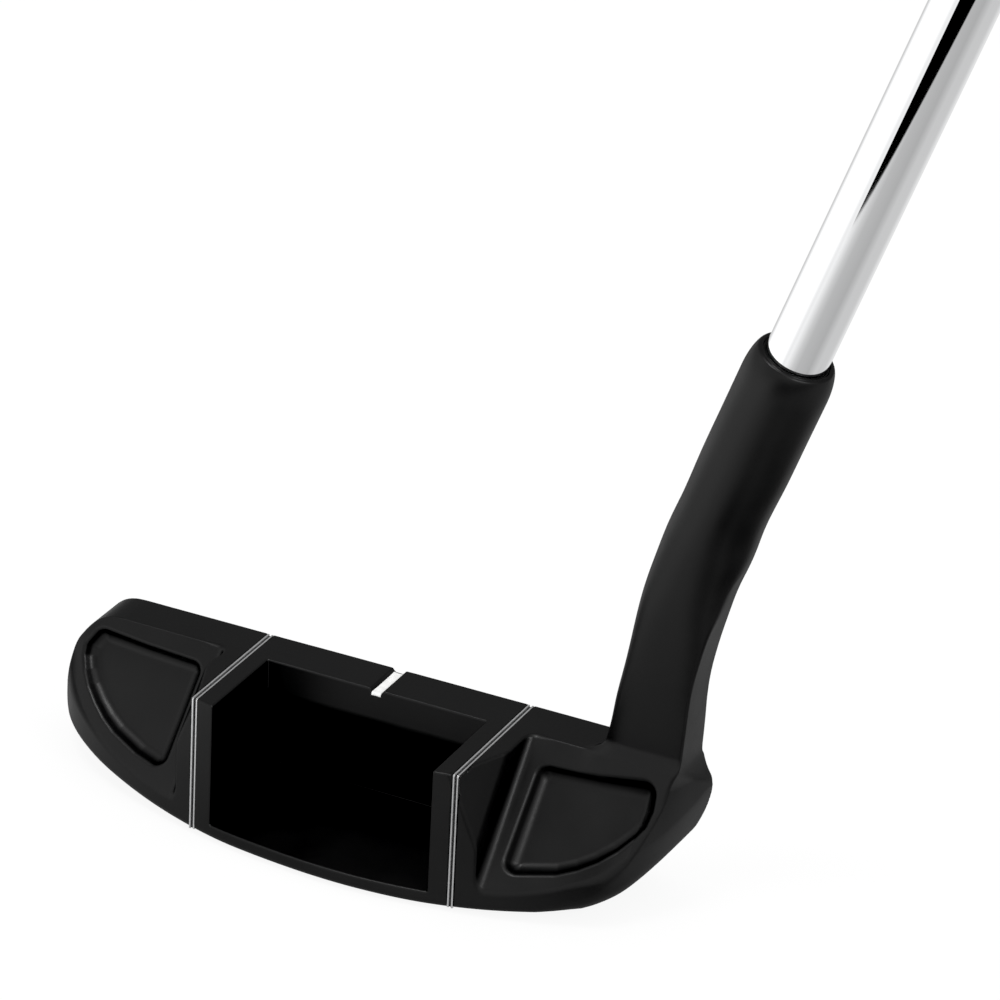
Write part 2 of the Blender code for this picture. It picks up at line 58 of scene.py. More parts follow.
# ---------------------------------------------------------------- places taken from the frame
mounts = {m["name"]: m for m in frame["record"]["mounts"]}
sight_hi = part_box("sight_line_fill")[1]
heel_lo, heel_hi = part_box("heel_alignment_inlay")
bond_lo, bond_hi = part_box("hosel_epoxy")
shaft_lo, shaft_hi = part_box("shaft_tube")
FRONT_Y = sight_hi.y / MM + 0.25                    # topline's front edge in the scene
TOP_Z = sight_hi.z / MM + 0.15                      # sole to topline
INLAY_GAP = 0.06                                    # between an inlay and each groove wall
GROOVE_X = (heel_lo.x + heel_hi.x) / 2 / MM
GROOVE_W = (heel_hi.x - heel_lo.x) / MM + 2 * INLAY_GAP
AXIS = Vector(mounts["butt_end"]["axis"]).normalized()
bond_mid = (bond_lo + bond_hi) / 2 / MM
FOOT_X = bond_mid.x - bond_mid.z * AXIS.x / AXIS.z  # where the shaft's axis meets the ground
LENGTH = (Vector(mounts["butt_end"]["pos_m"]) / MM - Vector((FOOT_X, FRONT_Y, 0))).dot(AXIS)
FOOT = Vector((FOOT_X, 0.0, 0.0))
# the same directions as arrays: along the shaft, towards the grip's flat, and across it
FOOT_AT, ALONG = np.array(FOOT), np.array(AXIS)
THUMB = np.array(Vector(mounts["grip_flat"]["axis"]).normalized())
SIDE = np.array((0.0, 1.0, 0.0))

# ---------------------------------------------------------------- head dimensions
TOP_W = 7.0                                         # topline, front to rear
LOFT = math.radians(3.5)
FACE_OUT, FACE_SKEW, FACE_SKEW_X = 0.12, 0.72, (-48.0, 38.0)    # face stands further out at the heel
REAR_LEAN = 0.5                                     # outline draws in by this, sole to topline
HEEL_FLARE, HEEL_FLARE_X, HEEL_FLARE_Z = 1.3, (38.0, 46.0), (2.0, 10.5)
SOLE_FLAT, SOLE_CAMBER = 14.0, 165.0                # half the flat's length, radius beyond it
LIP_Z = 2.46                                        # cavity floor
CAVITY_HALF, CAVITY_R, CAVITY_EDGE = 18.45, 0.15, 0.26
# upright band under the topline, then the cavity wall leans forward, easing in; length of its slope
BAND, UNDERCUT, UNDERCUT_EASE, UNDERCUT_LEN = 4.6, 0.30, 1.2, 1.04
WING, WING_R = 25.45, 1.4                           # wing's half extent, fillet at its foot
RAMP_FOOT, RISE_TOE, RISE_HEEL = 3.7, 0.0105, 0.0145
RIM_MAX_X, RAMP_MIN_RUN = 45.5, 2.5
CRISP_R = 0.30                                      # edge round the face and the upper outline
POCKET_D, POCKET_R, POCKET_FLOOR_R, POCKET_EDGE = 2.0, 2.0, 1.0, 0.40
POCKET_DRAFT, POCKET_DRAFT_LEN = 0.58, 1.156        # wall's slope and the length of that slope
GROOVE_D, GROOVE_R, GROOVE_EDGE = 0.55, 0.05, 0.09
# sight notch: floor depth, extra dip in its middle, half width at a depth, flare, slope length
NOTCH_D, NOTCH_DIP = 0.62, 0.10
NOTCH_HALF, NOTCH_AT, NOTCH_FLARE, NOTCH_FLARE_LEN = 0.72, 0.7, 0.55, 1.14
NOTCH_R, NOTCH_EDGE, NOTCH_OVERRUN = 0.25, 0.12, 1.2
HEEL_ZONE_X = 30.0                                  # the neck joins the head beyond this
NECK_FROM_Z, NECK_LEAN = 13.0, 0.364
OUTER_R, OUTER_TO_Z = 0.38, 58                      # outer side's edge, and where its trim ends
HOSEL_R, MOUTH_S, MOUTH_R, MOUTH_EDGE = 6.58, 95.3, 5.4, 0.25
MOUTH_DOME_FROM, MOUTH_DOME_L = 4.9, 5.2            # rounding starts this far below the mouth
BORE_R, BORE_D, BORE_FLOOR_R, BORE_EDGE = 5.0, 31.0, 0.3, 0.12
SHAFT_TIP_R, SHAFT_BUTT_R, SHAFT_PARALLEL = 4.70, 7.37, 260.0
SHAFT_WALL = 0.62
GRIP_L, CAP_T = 267.0, 4.0

# plan outline of the rear, toe to heel: (x, y)
REAR_OUTLINE = [
    (-57.5, 1.0), (-55.6, -3.5), (-50.8, -10.7), (-44.1, -15.65), (-35.6, -19.4), (-25.5, -22.6),
    (-14.0, -25.1), (0.0, -26.4), (12.0, -25.9), (24.0, -23.7), (35.0, -20.6), (41.2, -17.9),
    (44.7, -15.3), (46.9, -12.9), (48.75, -10.0), (50.1, -7.0), (51.25, -3.0), (52.2, 1.0)]
# side elevation at the toe and heel: (x, z)
TOE_TOP = [(-57.5, 7.4), (-56.6, 8.6), (-54.6, 11.4), (-52.5, 14.5), (-50.8, 17.5), (-48.9, 20.2),
           (-47.4, 21.55), (-45.8, 22.25), (-44.0, TOP_Z + 0.05), (-42.0, TOP_Z + 0.08)]
TOE_LOW = [(-57.5, 7.0), (-57.2, 5.9), (-56.0, 5.35), (-54.0, 4.9), (-52.0, 4.4)]
HEEL_LOW = [(40.0, 2.05), (42.0, 2.9), (44.5, 4.3), (46.75, 6.4), (49.15, 9.4), (50.85, 12.4),
            (51.65, 15.2), (51.9, 17.4)]
# the heel end and the neck's outer side run on as one surface: (height, x)
OUTER = [(17.4, 51.9), (18.7, 51.65), (20.0, 51.0), (21.4, 50.4), (22.9, 50.02), (25.0, 50.0),
         (27.5, 50.15), (31.5, 50.35), (36.0, 50.7), (40.5, 51.45), (45.0, 52.4), (49.5, 53.75),
         (54.0, 55.5), (60.0, 60.0)]
# neck: (height, left x, right x, rear y, front y, squareness, bulge cut away by the outer side)
NECK = [
    (9.0, 38.5, 45.0, -4.0, -1.6, 4.5, 1.4), (13.0, 38.0, 46.5, -4.9, -1.2, 4.5, 1.4),
    (16.0, 37.3, 47.8, -6.0, 0.2, 4.5, 3.4), (19.0, 36.8, 48.7, -6.9, 0.5, 4.5, 3.4),
    (21.8, 36.8, 49.4, -7.2, 0.7, 4.4, 3.4), (24.4, 37.1, 50.0, -7.25, 0.75, 4.3, 3.2),
    (27.5, 37.65, 50.3, -7.2, 0.7, 4.2, 2.8), (31.5, 38.2, 50.4, -7.1, 0.6, 4.0, 2.2),
    (36.0, 39.0, 50.75, -7.0, 0.75, 3.7, 1.7), (40.5, 39.7, 51.45, -6.9, 1.2, 3.35, 1.35),
    (45.0, 40.2, 52.4, -6.8, 2.3, 2.95, 0.9), (49.5, 40.85, 53.55, -6.7, 3.6, 2.6, 0.25),
    (54.0, 41.8, 55.15, -6.6, 5.0, 2.3, 0.0), (58.5, 42.95, 56.75, -6.55, 6.05, 2.1, 0.0),
    (62.5, 44.3, 57.98, -6.48, 6.44, 2.0, 0.0)]
NECK_TILT_FROM, NECK_TILT_OVER, NECK_TILT_POWER = 34.0, 28.5, 1.3   # sections tip over with height
# round hosel above the neck: stations, radius at its foot, where it starts growing, over what length
HOSEL_STATIONS = (74.0, 82.0, 90.0, 104.0)
HOSEL_FOOT_R, HOSEL_GROW_FROM, HOSEL_GROW_L = 6.50, 66.0, 20.0


# ---------------------------------------------------------------- curves
def spline(points, per_span):
    """Catmull-Rom curve through the points, as a list of tuples."""
    knots = [np.array(point, float) for point in points]
    knots = [knots[0] * 2 - knots[1]] + knots + [knots[-1] * 2 - knots[-2]]
    out = []
    for before, start, end, after in zip(knots, knots[1:], knots[2:], knots[3:]):
        for i in range(per_span):
            t = i / per_span
            out.append(tuple(0.5 * (2 * start + (end - before) * t
                                    + (2 * before - 5 * start + 4 * end - after) * t * t
                                    + (3 * start - before - 3 * end + after) * t ** 3)))
    out.append(tuple(knots[-2]))
    return out


class Smooth:
    """Natural cubic curve through (place, value) knots."""

    def __init__(self, knots):
        place, value = (np.array(column, float) for column in zip(*knots))
        n = len(place)
        gap = np.diff(place)
        system = np.zeros((n, n))
        rhs = np.zeros(n)
        system[0, 0] = system[-1, -1] = 1
        for i in range(1, n - 1):
            system[i, i - 1:i + 2] = gap[i - 1], 2 * (gap[i - 1] + gap[i]), gap[i]
            rhs[i] = 6 * ((value[i + 1] - value[i]) / gap[i] - (value[i] - value[i - 1]) / gap[i - 1])
        self.place, self.value, self.gap = place, value, gap
        self.bend = np.linalg.solve(system, rhs)

    def __call__(self, x):
        x = np.clip(x, self.place[0], self.place[-1])
        i = np.clip(np.searchsorted(self.place, x) - 1, 0, len(self.place) - 2)
        gap, ahead, past = self.gap[i], self.place[i + 1] - x, x - self.place[i]
        bend, value = self.bend, self.value
        return (bend[i] * ahead ** 3 + bend[i + 1] * past ** 3) / (6 * gap) + \
            (value[i] / gap - bend[i] * gap / 6) * ahead + \
            (value[i + 1] / gap - bend[i + 1] * gap / 6) * past


def step(over, x):
    """Smooth 0 to 1 as x crosses the interval."""
    t = np.clip((x - over[0]) / (over[1] - over[0]), 0, 1)
    return t * t * (3 - 2 * t)


rear = spline(REAR_OUTLINE, 14)
REAR_X, REAR_Y = np.array(rear).T
PLAN = rear + [(52.2, 30.0), (-57.5, 30.0)]
sole = [(float(x), float(max(0.0, abs(x) - SOLE_FLAT) ** 2 / (2 * SOLE_CAMBER)))
        for x in np.linspace(-51.5, 39.5, 92)]
ELEVATION = spline(TOE_LOW, 5)[:-1] + sole + spline(HEEL_LOW, 6)[:-1] + \
    [(53.5, 19.5), (58.0, TOP_Z + 0.08)] + spline(TOE_TOP, 8)[:0:-1]


def neck_curves():
    """Left, right, rear, front, squareness and bulge against height, neck sections then hosel."""
    rows = []
    for z, left_x, right_x, rear_y, front_y, square, bulge in NECK:
        rise = min(1.0, max(0.0, (z - NECK_TILT_FROM) / NECK_TILT_OVER))
        tilt = math.acos(AXIS.z) * rise ** NECK_TILT_POWER
        cos, sin = math.cos(tilt), math.sin(tilt)
        rows.append((z, (left_x + right_x) / 2, (right_x - left_x) / 2 * cos, cos, sin,
                     rear_y, front_y, square, bulge))
    for s in HOSEL_STATIONS:
        grown = min(1.0, (s - HOSEL_GROW_FROM) / HOSEL_GROW_L)
        radius = HOSEL_FOOT_R + (HOSEL_R - HOSEL_FOOT_R) * grown
        centre = FOOT + AXIS * s
        rows.append((centre.z, centre.x, radius, AXIS.z, AXIS.x, -radius, radius, 2.0, 0.0))
    curves = [[] for _ in range(6)]
    for z, mid, half, cos, sin, *rest in rows:
        curves[0].append((z + half * sin, mid - half * cos))
        curves[1].append((z - half * sin, mid + half * cos))
        for curve, value in zip(curves[2:], rest):
            curve.append((z, value))
    return [Smooth(sorted(curve)) for curve in curves]


NECK_LEFT, NECK_RIGHT, NECK_REAR, NECK_FRONT, NECK_SQUARE, NECK_BULGE = neck_curves()
OUTER_X = Smooth(OUTER)


# ---------------------------------------------------------------- distance fields
def sd_poly(px, py, outline):
    """Signed distance to a closed outline, negative inside."""
    px, py = np.broadcast_arrays(px, py)
    nearest = np.full(px.shape, 1e9, np.float32)
    inside = np.zeros(px.shape, bool)
    for (ax, ay), (bx, by) in zip(outline, outline[1:] + outline[:1]):
        ex, ey = bx - ax, by - ay
        if ex * ex + ey * ey < 1e-12:
            continue
        wx, wy = px - ax, py - ay
        t = np.clip((wx * ex + wy * ey) / (ex * ex + ey * ey), 0, 1)
        dx, dy = wx - ex * t, wy - ey * t
        np.minimum(nearest, dx * dx + dy * dy, out=nearest)
        if ey != 0:
            inside ^= ((ay > py) != (by > py)) & (px < ex * (py - ay) / ey + ax)
    return np.where(inside, -1.0, 1.0).astype(np.float32) * np.sqrt(nearest)


def meet(a, b, radius):
    """Both, with the edge between them rounded."""
    u, v = np.maximum(radius + a, 0), np.maximum(radius + b, 0)
    return np.minimum(-radius, np.maximum(a, b)) + np.sqrt(u * u + v * v)


def join(a, b, radius):
    """Either, with a fillet between them."""
    u, v = np.maximum(radius - a, 0), np.maximum(radius - b, 0)
    return np.maximum(radius, np.minimum(a, b)) - np.sqrt(u * u + v * v)


def cut(a, b, radius):
    """a with b taken away, the edge rounded."""
    return meet(a, -b, radius)


def plan_sd(x, y, z):
    return sd_poly(x, y, PLAN) + REAR_LEAN * z / TOP_Z


def face_skew(x):
    return FACE_SKEW * step(FACE_SKEW_X, x)


def notch_floor(y):
    """Height of the sight notch's floor, lowest in the middle of the topline."""
    across = np.clip((y + TOP_W / 2) / (TOP_W / 2), -1.2, 1.2)
    return TOP_Z - NOTCH_D - NOTCH_DIP * np.cos(across * 1.3)


def ramp_run(x):
    """(y, z) from the topline's rear edge to the foot of the ramp at x."""
    x = np.minimum(x, RIM_MAX_X)
    rim_y = np.minimum(np.interp(x, REAR_X, REAR_Y), -TOP_W - RAMP_MIN_RUN)
    rise = np.where(x < 0, RISE_TOE, RISE_HEEL)
    rim_z = RAMP_FOOT + rise * np.maximum(0.0, np.abs(x) - WING) ** 2
    return rim_y + TOP_W, rim_z - TOP_Z


def ramp(x, y, z):
    """(height above the ramp, distance down it from the topline's edge)."""
    dy, dz = ramp_run(x)
    length = np.sqrt(dy * dy + dz * dz)
    up = ((y + TOP_W) * dz - (z - TOP_Z) * dy) / length
    along = ((y + TOP_W) * dy + (z - TOP_Z) * dz) / length
    return up, along


def ramp_sd(x, y, z):
    """As ramp, with the height corrected for the ramp's slope along x."""
    up, along = ramp(x, y, z)
    reach = 0.25
    slope = (ramp(x + reach, y, z)[0] - ramp(x - reach, y, z)[0]) / (2 * reach)
    return up / np.sqrt(1 + slope * slope), along


def inset(points, distance):
    """Closed outline moved inwards, for corners rounded by the same distance."""
    points = np.array(points)
    following = np.roll(points, -1, axis=0)
    area = (points[:, 0] * following[:, 1] - following[:, 0] * points[:, 1]).sum()
    sign = 1.0 if area > 0 else -1.0

    def inward(edge):
        return np.array((-edge[1], edge[0])) / np.hypot(*edge) * sign

    out = []
    for before, point, after in zip(np.roll(points, 1, axis=0), points, following):
        mitre = inward(point - before) + inward(after - point)
        out.append(tuple(point + mitre * (distance / (mitre @ mitre) * 2)))
    return out


def pocket_outline(side, corners):
    """Inset outline on the ramp of a pocket at side -1 (toe) or 1 (heel)."""
    return inset([(side * x, share * math.hypot(*ramp_run(side * x))) for x, share in corners],
                 POCKET_R)


# corners: (distance from the centre plane, share of the ramp's length)
TOE_POCKET = pocket_outline(-1, [
    (28.3, 0.125), (38.5, 0.125), (47.0, 0.125), (49.0, 0.36), (49.0, 0.50), (48.2, 0.62),
    (46.8, 0.72), (44.8, 0.785), (42.5, 0.83), (40.0, 0.855), (35.0, 0.87), (29.2, 0.87)])
HEEL_POCKET = pocket_outline(1, [
    (28.3, 0.155), (38.0, 0.155), (46.9, 0.145), (47.3, 0.42), (46.8, 0.59), (45.6, 0.715),
    (43.8, 0.795), (41.6, 0.84), (38.9, 0.865), (36.0, 0.875), (27.9, 0.87)])


def pocket_sd(x, up, along, outline):
    wall = sd_poly(x, along, outline) - POCKET_R
    wall = (wall - POCKET_DRAFT * up) / POCKET_DRAFT_LEN
    return meet(wall, -(up + POCKET_D), POCKET_FLOOR_R)


def neck_sd(x, y, z):
    """Distance to the neck's superellipse sections."""
    left, right = NECK_LEFT(z), NECK_RIGHT(z) + NECK_BULGE(z)
    back, front = NECK_REAR(z), NECK_FRONT(z)
    power = NECK_SQUARE(z)
    half_x, half_y = (right - left) / 2, (front - back) / 2
    across = np.abs((x - (right + left) / 2) / half_x)
    deep = np.abs((y - (front + back) / 2) / half_y)
    size = np.maximum((across ** power + deep ** power), 1e-9) ** (1 / power)
    slope_x = (across / size) ** (power - 1) / half_x
    slope_y = (deep / size) ** (power - 1) / half_y
    slope = np.sqrt(slope_x * slope_x + slope_y * slope_y)
    lean = 1.0 / np.sqrt(1 + (NECK_LEAN * slope_x / np.maximum(slope, 1e-6)) ** 2)
    return (size - 1) / np.maximum(slope, 0.05) * lean


def outline_edge(x, z):
    """Rounding between plan and elevation: wide low down, wide again high on the toe's end."""
    low = 1.3 + 2.2 * np.clip((x - 34.0) / 12.0, 0, 1)
    toe_high = np.minimum(CRISP_R + 2.8 * np.maximum(0, (-x - 44.0) / 13.8), 2.6)
    toe = low + (toe_high - low) * step((4.5, 9.5), z)
    heel = CRISP_R + (low - CRISP_R) * (1 - step((10.0, 19.0), z))
    return np.where(x > 0, heel, toe)


def with_neck(core, blank, plan, x, y, z):
    """The neck flows out of the ramp, and the outer wall trims both as one surface."""
    neck = np.maximum(neck_sd(x, y, z), NECK_FROM_Z - z)
    # the fillet grows with height, and towards the rear
    fillet = 0.3 + (0.5 + 2.4 * step((-3.0, -7.5), y)) * step((12.5, 18.5), z)
    core = join(core, neck, fillet)
    wall = plan - 1.5 * step((20.0, 27.0), z)       # outline eased outwards up the neck
    core = np.maximum(meet(core, wall, OUTER_R), np.where(z < 20, blank, -9.0))
    return meet(core, x - OUTER_X(z), OUTER_R)


def cavity_sd(x, y, z):
    """Centre cavity, open behind and above."""
    under = np.maximum(0.0, TOP_Z - BAND - z)
    under = np.where(under < UNDERCUT_EASE, under * under / (2 * UNDERCUT_EASE),
                     under - UNDERCUT_EASE / 2) * UNDERCUT
    return meet(meet(np.abs(x) - CAVITY_HALF, LIP_Z - z, CAVITY_R),
                (y + TOP_W - under) / UNDERCUT_LEN, CAVITY_R)


def grooves_sd(x, z, plan):
    """Alignment grooves over each wing's top and down its rear face."""
    sides = np.abs(np.abs(x) - GROOVE_X) - GROOVE_W / 2
    return np.minimum(meet(sides, -(z - TOP_Z + GROOVE_D), GROOVE_R),
                      meet(sides, -(plan + GROOVE_D), GROOVE_R))


def notch_sd(x, y, z):
    """Sight notch: a shallow flared scoop across the topline."""
    side = np.abs(x) - (NOTCH_HALF + NOTCH_FLARE * (z - TOP_Z + NOTCH_AT))
    scoop = meet(side / NOTCH_FLARE_LEN, notch_floor(y) - z, NOTCH_R)
    return np.maximum(scoop, -(y + TOP_W + NOTCH_OVERRUN))


def head_sd(x, y, z):
    """Signed distance to the head, negative in the metal."""
    plan = plan_sd(x, y, z) - HEEL_FLARE * step(HEEL_FLARE_X, x) * (1 - step(HEEL_FLARE_Z, z))
    elevation = sd_poly(x, z, ELEVATION)
    blank = meet(plan, elevation, outline_edge(x, z))
    face = y * math.cos(LOFT) + (z - TOP_Z) * math.sin(LOFT) - FACE_OUT - face_skew(x)
    up, along = ramp_sd(x, y, z)
    hollow = meet(-up, WING - np.abs(x), WING_R)    # above the ramps, outside the wings
    # the hollow's edge is crisper high up, beyond the wings
    crisp = 0.42 - 0.27 * step((27.0, 30.0), np.abs(x)) * step((16.0, 20.0), z)

    def faced(solid):
        return cut(meet(solid, face, CRISP_R), hollow, crisp)

    body = faced(blank)
    near = x > HEEL_ZONE_X
    if np.any(near):
        body = np.where(near, with_neck(faced(elevation), blank, plan, x, y, z), body)
    body = cut(body, cavity_sd(x, y, z), CAVITY_EDGE)
    pocket = TOE_POCKET if np.mean(x) < 0 else HEEL_POCKET
    body = cut(body, pocket_sd(x, up, along, pocket), POCKET_EDGE)
    body = cut(body, grooves_sd(x, z, plan), GROOVE_EDGE)
    body = cut(body, notch_sd(x, y, z), NOTCH_EDGE)
    return body.astype(np.float32)


def hosel_sd(x, y, z):
    """The neck and hosel above the topline, with its rounded mouth and its bore."""
    neck = neck_sd(x, y, z)
    neck = np.where(z < OUTER_TO_Z, meet(neck, x - OUTER_X(z), OUTER_R), neck)
    s = (x - FOOT.x) * AXIS.x + z * AXIS.z
    off_axis = np.sqrt(((x - FOOT.x) * AXIS.z - z * AXIS.x) ** 2 + y ** 2)
    t = np.clip((s - (MOUTH_S - MOUTH_DOME_FROM)) / MOUTH_DOME_L, 0, 0.999)
    drop = HOSEL_R - MOUTH_R + MOUTH_EDGE
    dome_r = MOUTH_R - MOUTH_EDGE + drop * np.sqrt(1 - t * t)
    slope = drop / MOUTH_DOME_L * t / np.sqrt(1 - t * t)
    mouth = (off_axis - dome_r) / np.sqrt(1 + slope * slope)
    neck = np.where(s > MOUTH_S - 12, np.maximum(neck, mouth), neck)
    neck = meet(neck, s - MOUTH_S, MOUTH_EDGE)
    bore = meet(off_axis - BORE_R, (MOUTH_S - BORE_D) - s, BORE_FLOOR_R)
    return cut(neck, bore, BORE_EDGE).astype(np.float32)


# ---------------------------------------------------------------- field to surface
FIELD_LO, FIELD_HI = (-59.0, -28.0, -1.0), (72.0, 8.4, 96.0)
SPLIT_Z = 32.0                                      # head_sd below, hosel_sd above
SLAB = 8.0                                          # thickness filled at a time
HEAD_X_END, HEAD_Y_END, HEAD_Z_END = 54.0, 3.2, 24.0
HOSEL_X, HOSEL_X_SPAN, HOSEL_LEAN_FROM, HOSEL_Y = 33.0, 30.0, 50, -9.5


def sample(pitch):
    """The field on a lattice, filled only where the head can be."""
    lo = np.array(FIELD_LO)
    counts = np.ceil((np.array(FIELD_HI) - lo) / pitch).astype(int)
    grid = np.full(counts, 1.0, np.float32)
    ticks = [lo[k] + pitch * np.arange(counts[k]) for k in range(3)]

    def fill(field, *spans):
        block = tuple(slice(*span) for span in spans)
        axes = [tick[part].astype(np.float32) for tick, part in zip(ticks, block)]
        grid[block] = field(*np.ix_(*axes))

    def at(axis, value):
        return int(np.clip(round((value - lo[axis]) / pitch), 0, counts[axis]))

    k_split = at(2, SPLIT_Z)
    i, slab = 0, max(8, int(SLAB / pitch))
    middle, end = at(0, 0.0), at(0, HEAD_X_END)
    while i < end:
        i_next = min(i + slab, end)
        if i < middle < i_next:
            i_next = middle
        k_top = k_split if i_next > at(0, HOSEL_X) else at(2, HEAD_Z_END)
        fill(head_sd, (i, i_next), (0, at(1, HEAD_Y_END)), (0, k_top))
        i = i_next
    k = k_split
    while k < counts[2]:
        k_next = min(k + slab, counts[2])
        x0 = HOSEL_X + max(0.0, (ticks[2][k] - HOSEL_LEAN_FROM) * NECK_LEAN)
        fill(hosel_sd, (at(0, x0), at(0, min(FIELD_HI[0], x0 + HOSEL_X_SPAN))),
             (at(1, HOSEL_Y), counts[1]), (k, k_next))
        k = k_next
    return grid, lo


def surface_nets(grid, lo, pitch):
    """Vertices and quads of the zero surface."""
    inside = grid < 0
    filled = np.zeros(tuple(size - 1 for size in grid.shape), np.uint8)
    nx, ny, nz = filled.shape
    for i in (0, 1):
        for j in (0, 1):
            for k in (0, 1):
                filled += inside[i:i + nx, j:j + ny, k:k + nz]
    index = np.flatnonzero((filled > 0) & (filled < 8))
    cell = np.stack(np.unravel_index(index, filled.shape), 1)
    ids = np.full(filled.size, -1, np.int32)
    ids[index] = np.arange(len(index))
    # each vertex is the mean of the crossings on its cell's edges
    total = np.zeros((len(index), 3))
    count = np.zeros(len(index))
    for axis in range(3):
        other1, other2 = [k for k in range(3) if k != axis]
        for i in (0, 1):
            for j in (0, 1):
                base = cell.copy()
                base[:, other1] += i
                base[:, other2] += j
                tip = base.copy()
                tip[:, axis] += 1
                start = grid[base[:, 0], base[:, 1], base[:, 2]]
                end = grid[tip[:, 0], tip[:, 1], tip[:, 2]]
                crossed = (start < 0) != (end < 0)
                point = np.zeros((len(index), 3))
                point[:, axis] = np.where(crossed, start / np.where(crossed, start - end, 1), 0)
                point[:, other1] = i
                point[:, other2] = j
                total += point * crossed[:, None]
                count += crossed
    verts = (cell + total / count[:, None]) * pitch + lo
    # one quad for every lattice edge that crosses the surface
    quads = []
    strides = (ny * nz, nz, 1)
    for axis in range(3):
        other1, other2 = [(1, 2), (2, 0), (0, 1)][axis]
        lower = [slice(None)] * 3
        upper = [slice(None)] * 3
        lower[axis], upper[axis] = slice(0, -1), slice(1, None)
        for k in (other1, other2):
            lower[k] = upper[k] = slice(1, grid.shape[k] - 1)
        below, above = inside[tuple(lower)], inside[tuple(upper)]
        for outward, crossed in ((True, below & ~above), (False, ~below & above)):
            edge = np.stack(np.nonzero(crossed), 1)
            edge[:, other1] += 1
            edge[:, other2] += 1
            flat = edge[:, 0] * strides[0] + edge[:, 1] * strides[1] + edge[:, 2] * strides[2]
            a, b = strides[other1], strides[other2]
            quad = np.stack([ids[flat - a - b], ids[flat - b], ids[flat], ids[flat - a]], 1)
            quads.append(quad if outward else quad[:, ::-1])
    quads = np.concatenate(quads)
    return verts, quads[(quads >= 0).all(1)]


def field_points(points):
    """The field at scattered points; head_sd wants toe and heel apart."""
    out = np.empty(len(points))
    low = points[:, 2] < SPLIT_Z
    toe = points[:, 0] < 0
    for mask, field in ((low & toe, head_sd), (low & ~toe, head_sd), (~low, hosel_sd)):
        if mask.any():
            out[mask] = field(points[mask, 0], points[mask, 1], points[mask, 2])
    return out


def normals_at(points, reach=0.05):
    """(distance, unit normal, gradient) of the field, by a tetrahedron of samples."""
    gradient = np.zeros(points.shape)
    distance = np.zeros(len(points))
    for row in np.array([[1, -1, -1], [-1, -1, 1], [-1, 1, -1], [1, 1, 1]], float):
        value = field_points(points + row * reach)
        gradient += value[:, None] * row
        distance += value / 4
    length = np.linalg.norm(gradient, axis=1)
    return distance, gradient / np.maximum(length, 1e-9)[:, None], length / (4 * reach)


# ---------------------------------------------------------------- mesh builders
def new_piece(name, verts, faces, normals=None):
    """Mesh object from points in the head's frame, riding on the one body."""
    mesh = bpy.data.meshes.new(name)
    co = ((np.asarray(verts, float) + np.array([0, FRONT_Y, 0])) * MM).astype(np.float32)
    if isinstance(faces, np.ndarray):
        n, k = faces.shape
        mesh.vertices.add(len(co))
        mesh.vertices.foreach_set("co", co.ravel())
        mesh.loops.add(n * k)
        mesh.loops.foreach_set("vertex_index", faces.astype(np.int32).ravel())
        mesh.polygons.add(n)
        mesh.polygons.foreach_set("loop_start", np.arange(0, n * k, k, dtype=np.int32))
        mesh.update(calc_edges=True)
    else:
        mesh.from_pydata([tuple(point) for point in co], [], faces)
    mesh.validate()
    mesh.shade_smooth()
    obj = bpy.data.objects.new(name, mesh)
    bpy.context.scene.collection.objects.link(obj)
    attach(obj, "root")
    if normals is not None:
        mesh.normals_split_custom_set_from_vertices(normals)
    return obj


def closed_tube(name, rows, sharp=None):
    """Tube of rings: each row joins the next and the last joins the first."""
    n, m = len(rows[0]), len(rows)
    verts = np.concatenate(rows)
    i, j = np.meshgrid(np.arange(m), np.arange(n), indexing="ij")
    i2, j2 = (i + 1) % m, (j + 1) % n
    faces = np.stack([i * n + j, i * n + j2, i2 * n + j2, i2 * n + j], -1).reshape(-1, 4)
    a, b, c, d = (verts[faces[:, k]] for k in range(4))
    volume = float(np.einsum("ij,ij->i", a, np.cross(b, c)).sum()
                   + np.einsum("ij,ij->i", a, np.cross(c, d)).sum())
    if volume < 0:
        faces = faces[:, ::-1]
    obj = new_piece(name, verts, faces)
    if sharp is not None:
        obj.data.set_sharp_from_angle(angle=math.radians(sharp))
    return obj


def turned(name, profile, sides, sharp):
    """Solid of revolution about the shaft's axis; profile is a closed run of (station, radius)."""
    angle = 2 * np.pi * np.arange(sides) / sides
    circle = np.sin(angle)[:, None] * THUMB + np.cos(angle)[:, None] * SIDE
    return closed_tube(name, [FOOT_AT + ALONG * s + r * circle for s, r in profile], sharp)


def strip(name, path, section, sharp):
    """Section of (across, out) points along a path of (point, outward direction), ends closed."""
    verts = [np.array(point) + np.array((across, 0, 0)) + np.array(outward) * out
             for point, outward in path for across, out in section]
    n, m = len(section), len(path)
    faces = [(i * n + j, i * n + (j + 1) % n, (i + 1) * n + (j + 1) % n, (i + 1) * n + j)
             for i in range(m - 1) for j in range(n)]
    faces.append(tuple(reversed(range(n))))
    faces.append(tuple((m - 1) * n + j for j in range(n)))
    obj = new_piece(name, verts, faces)
    bm = bmesh.new()
    bm.from_mesh(obj.data)
    bmesh.ops.recalc_face_normals(bm, faces=bm.faces)
    bm.to_mesh(obj.data)
    bm.free()
    obj.data.shade_smooth()
    obj.data.set_sharp_from_angle(angle=math.radians(sharp))
    return obj


def section_ring(s, thumbward, sideways):
    """Ring of points square to the shaft's axis."""
    return FOOT_AT + ALONG * s + thumbward[:, None] * THUMB + sideways[:, None] * SIDE


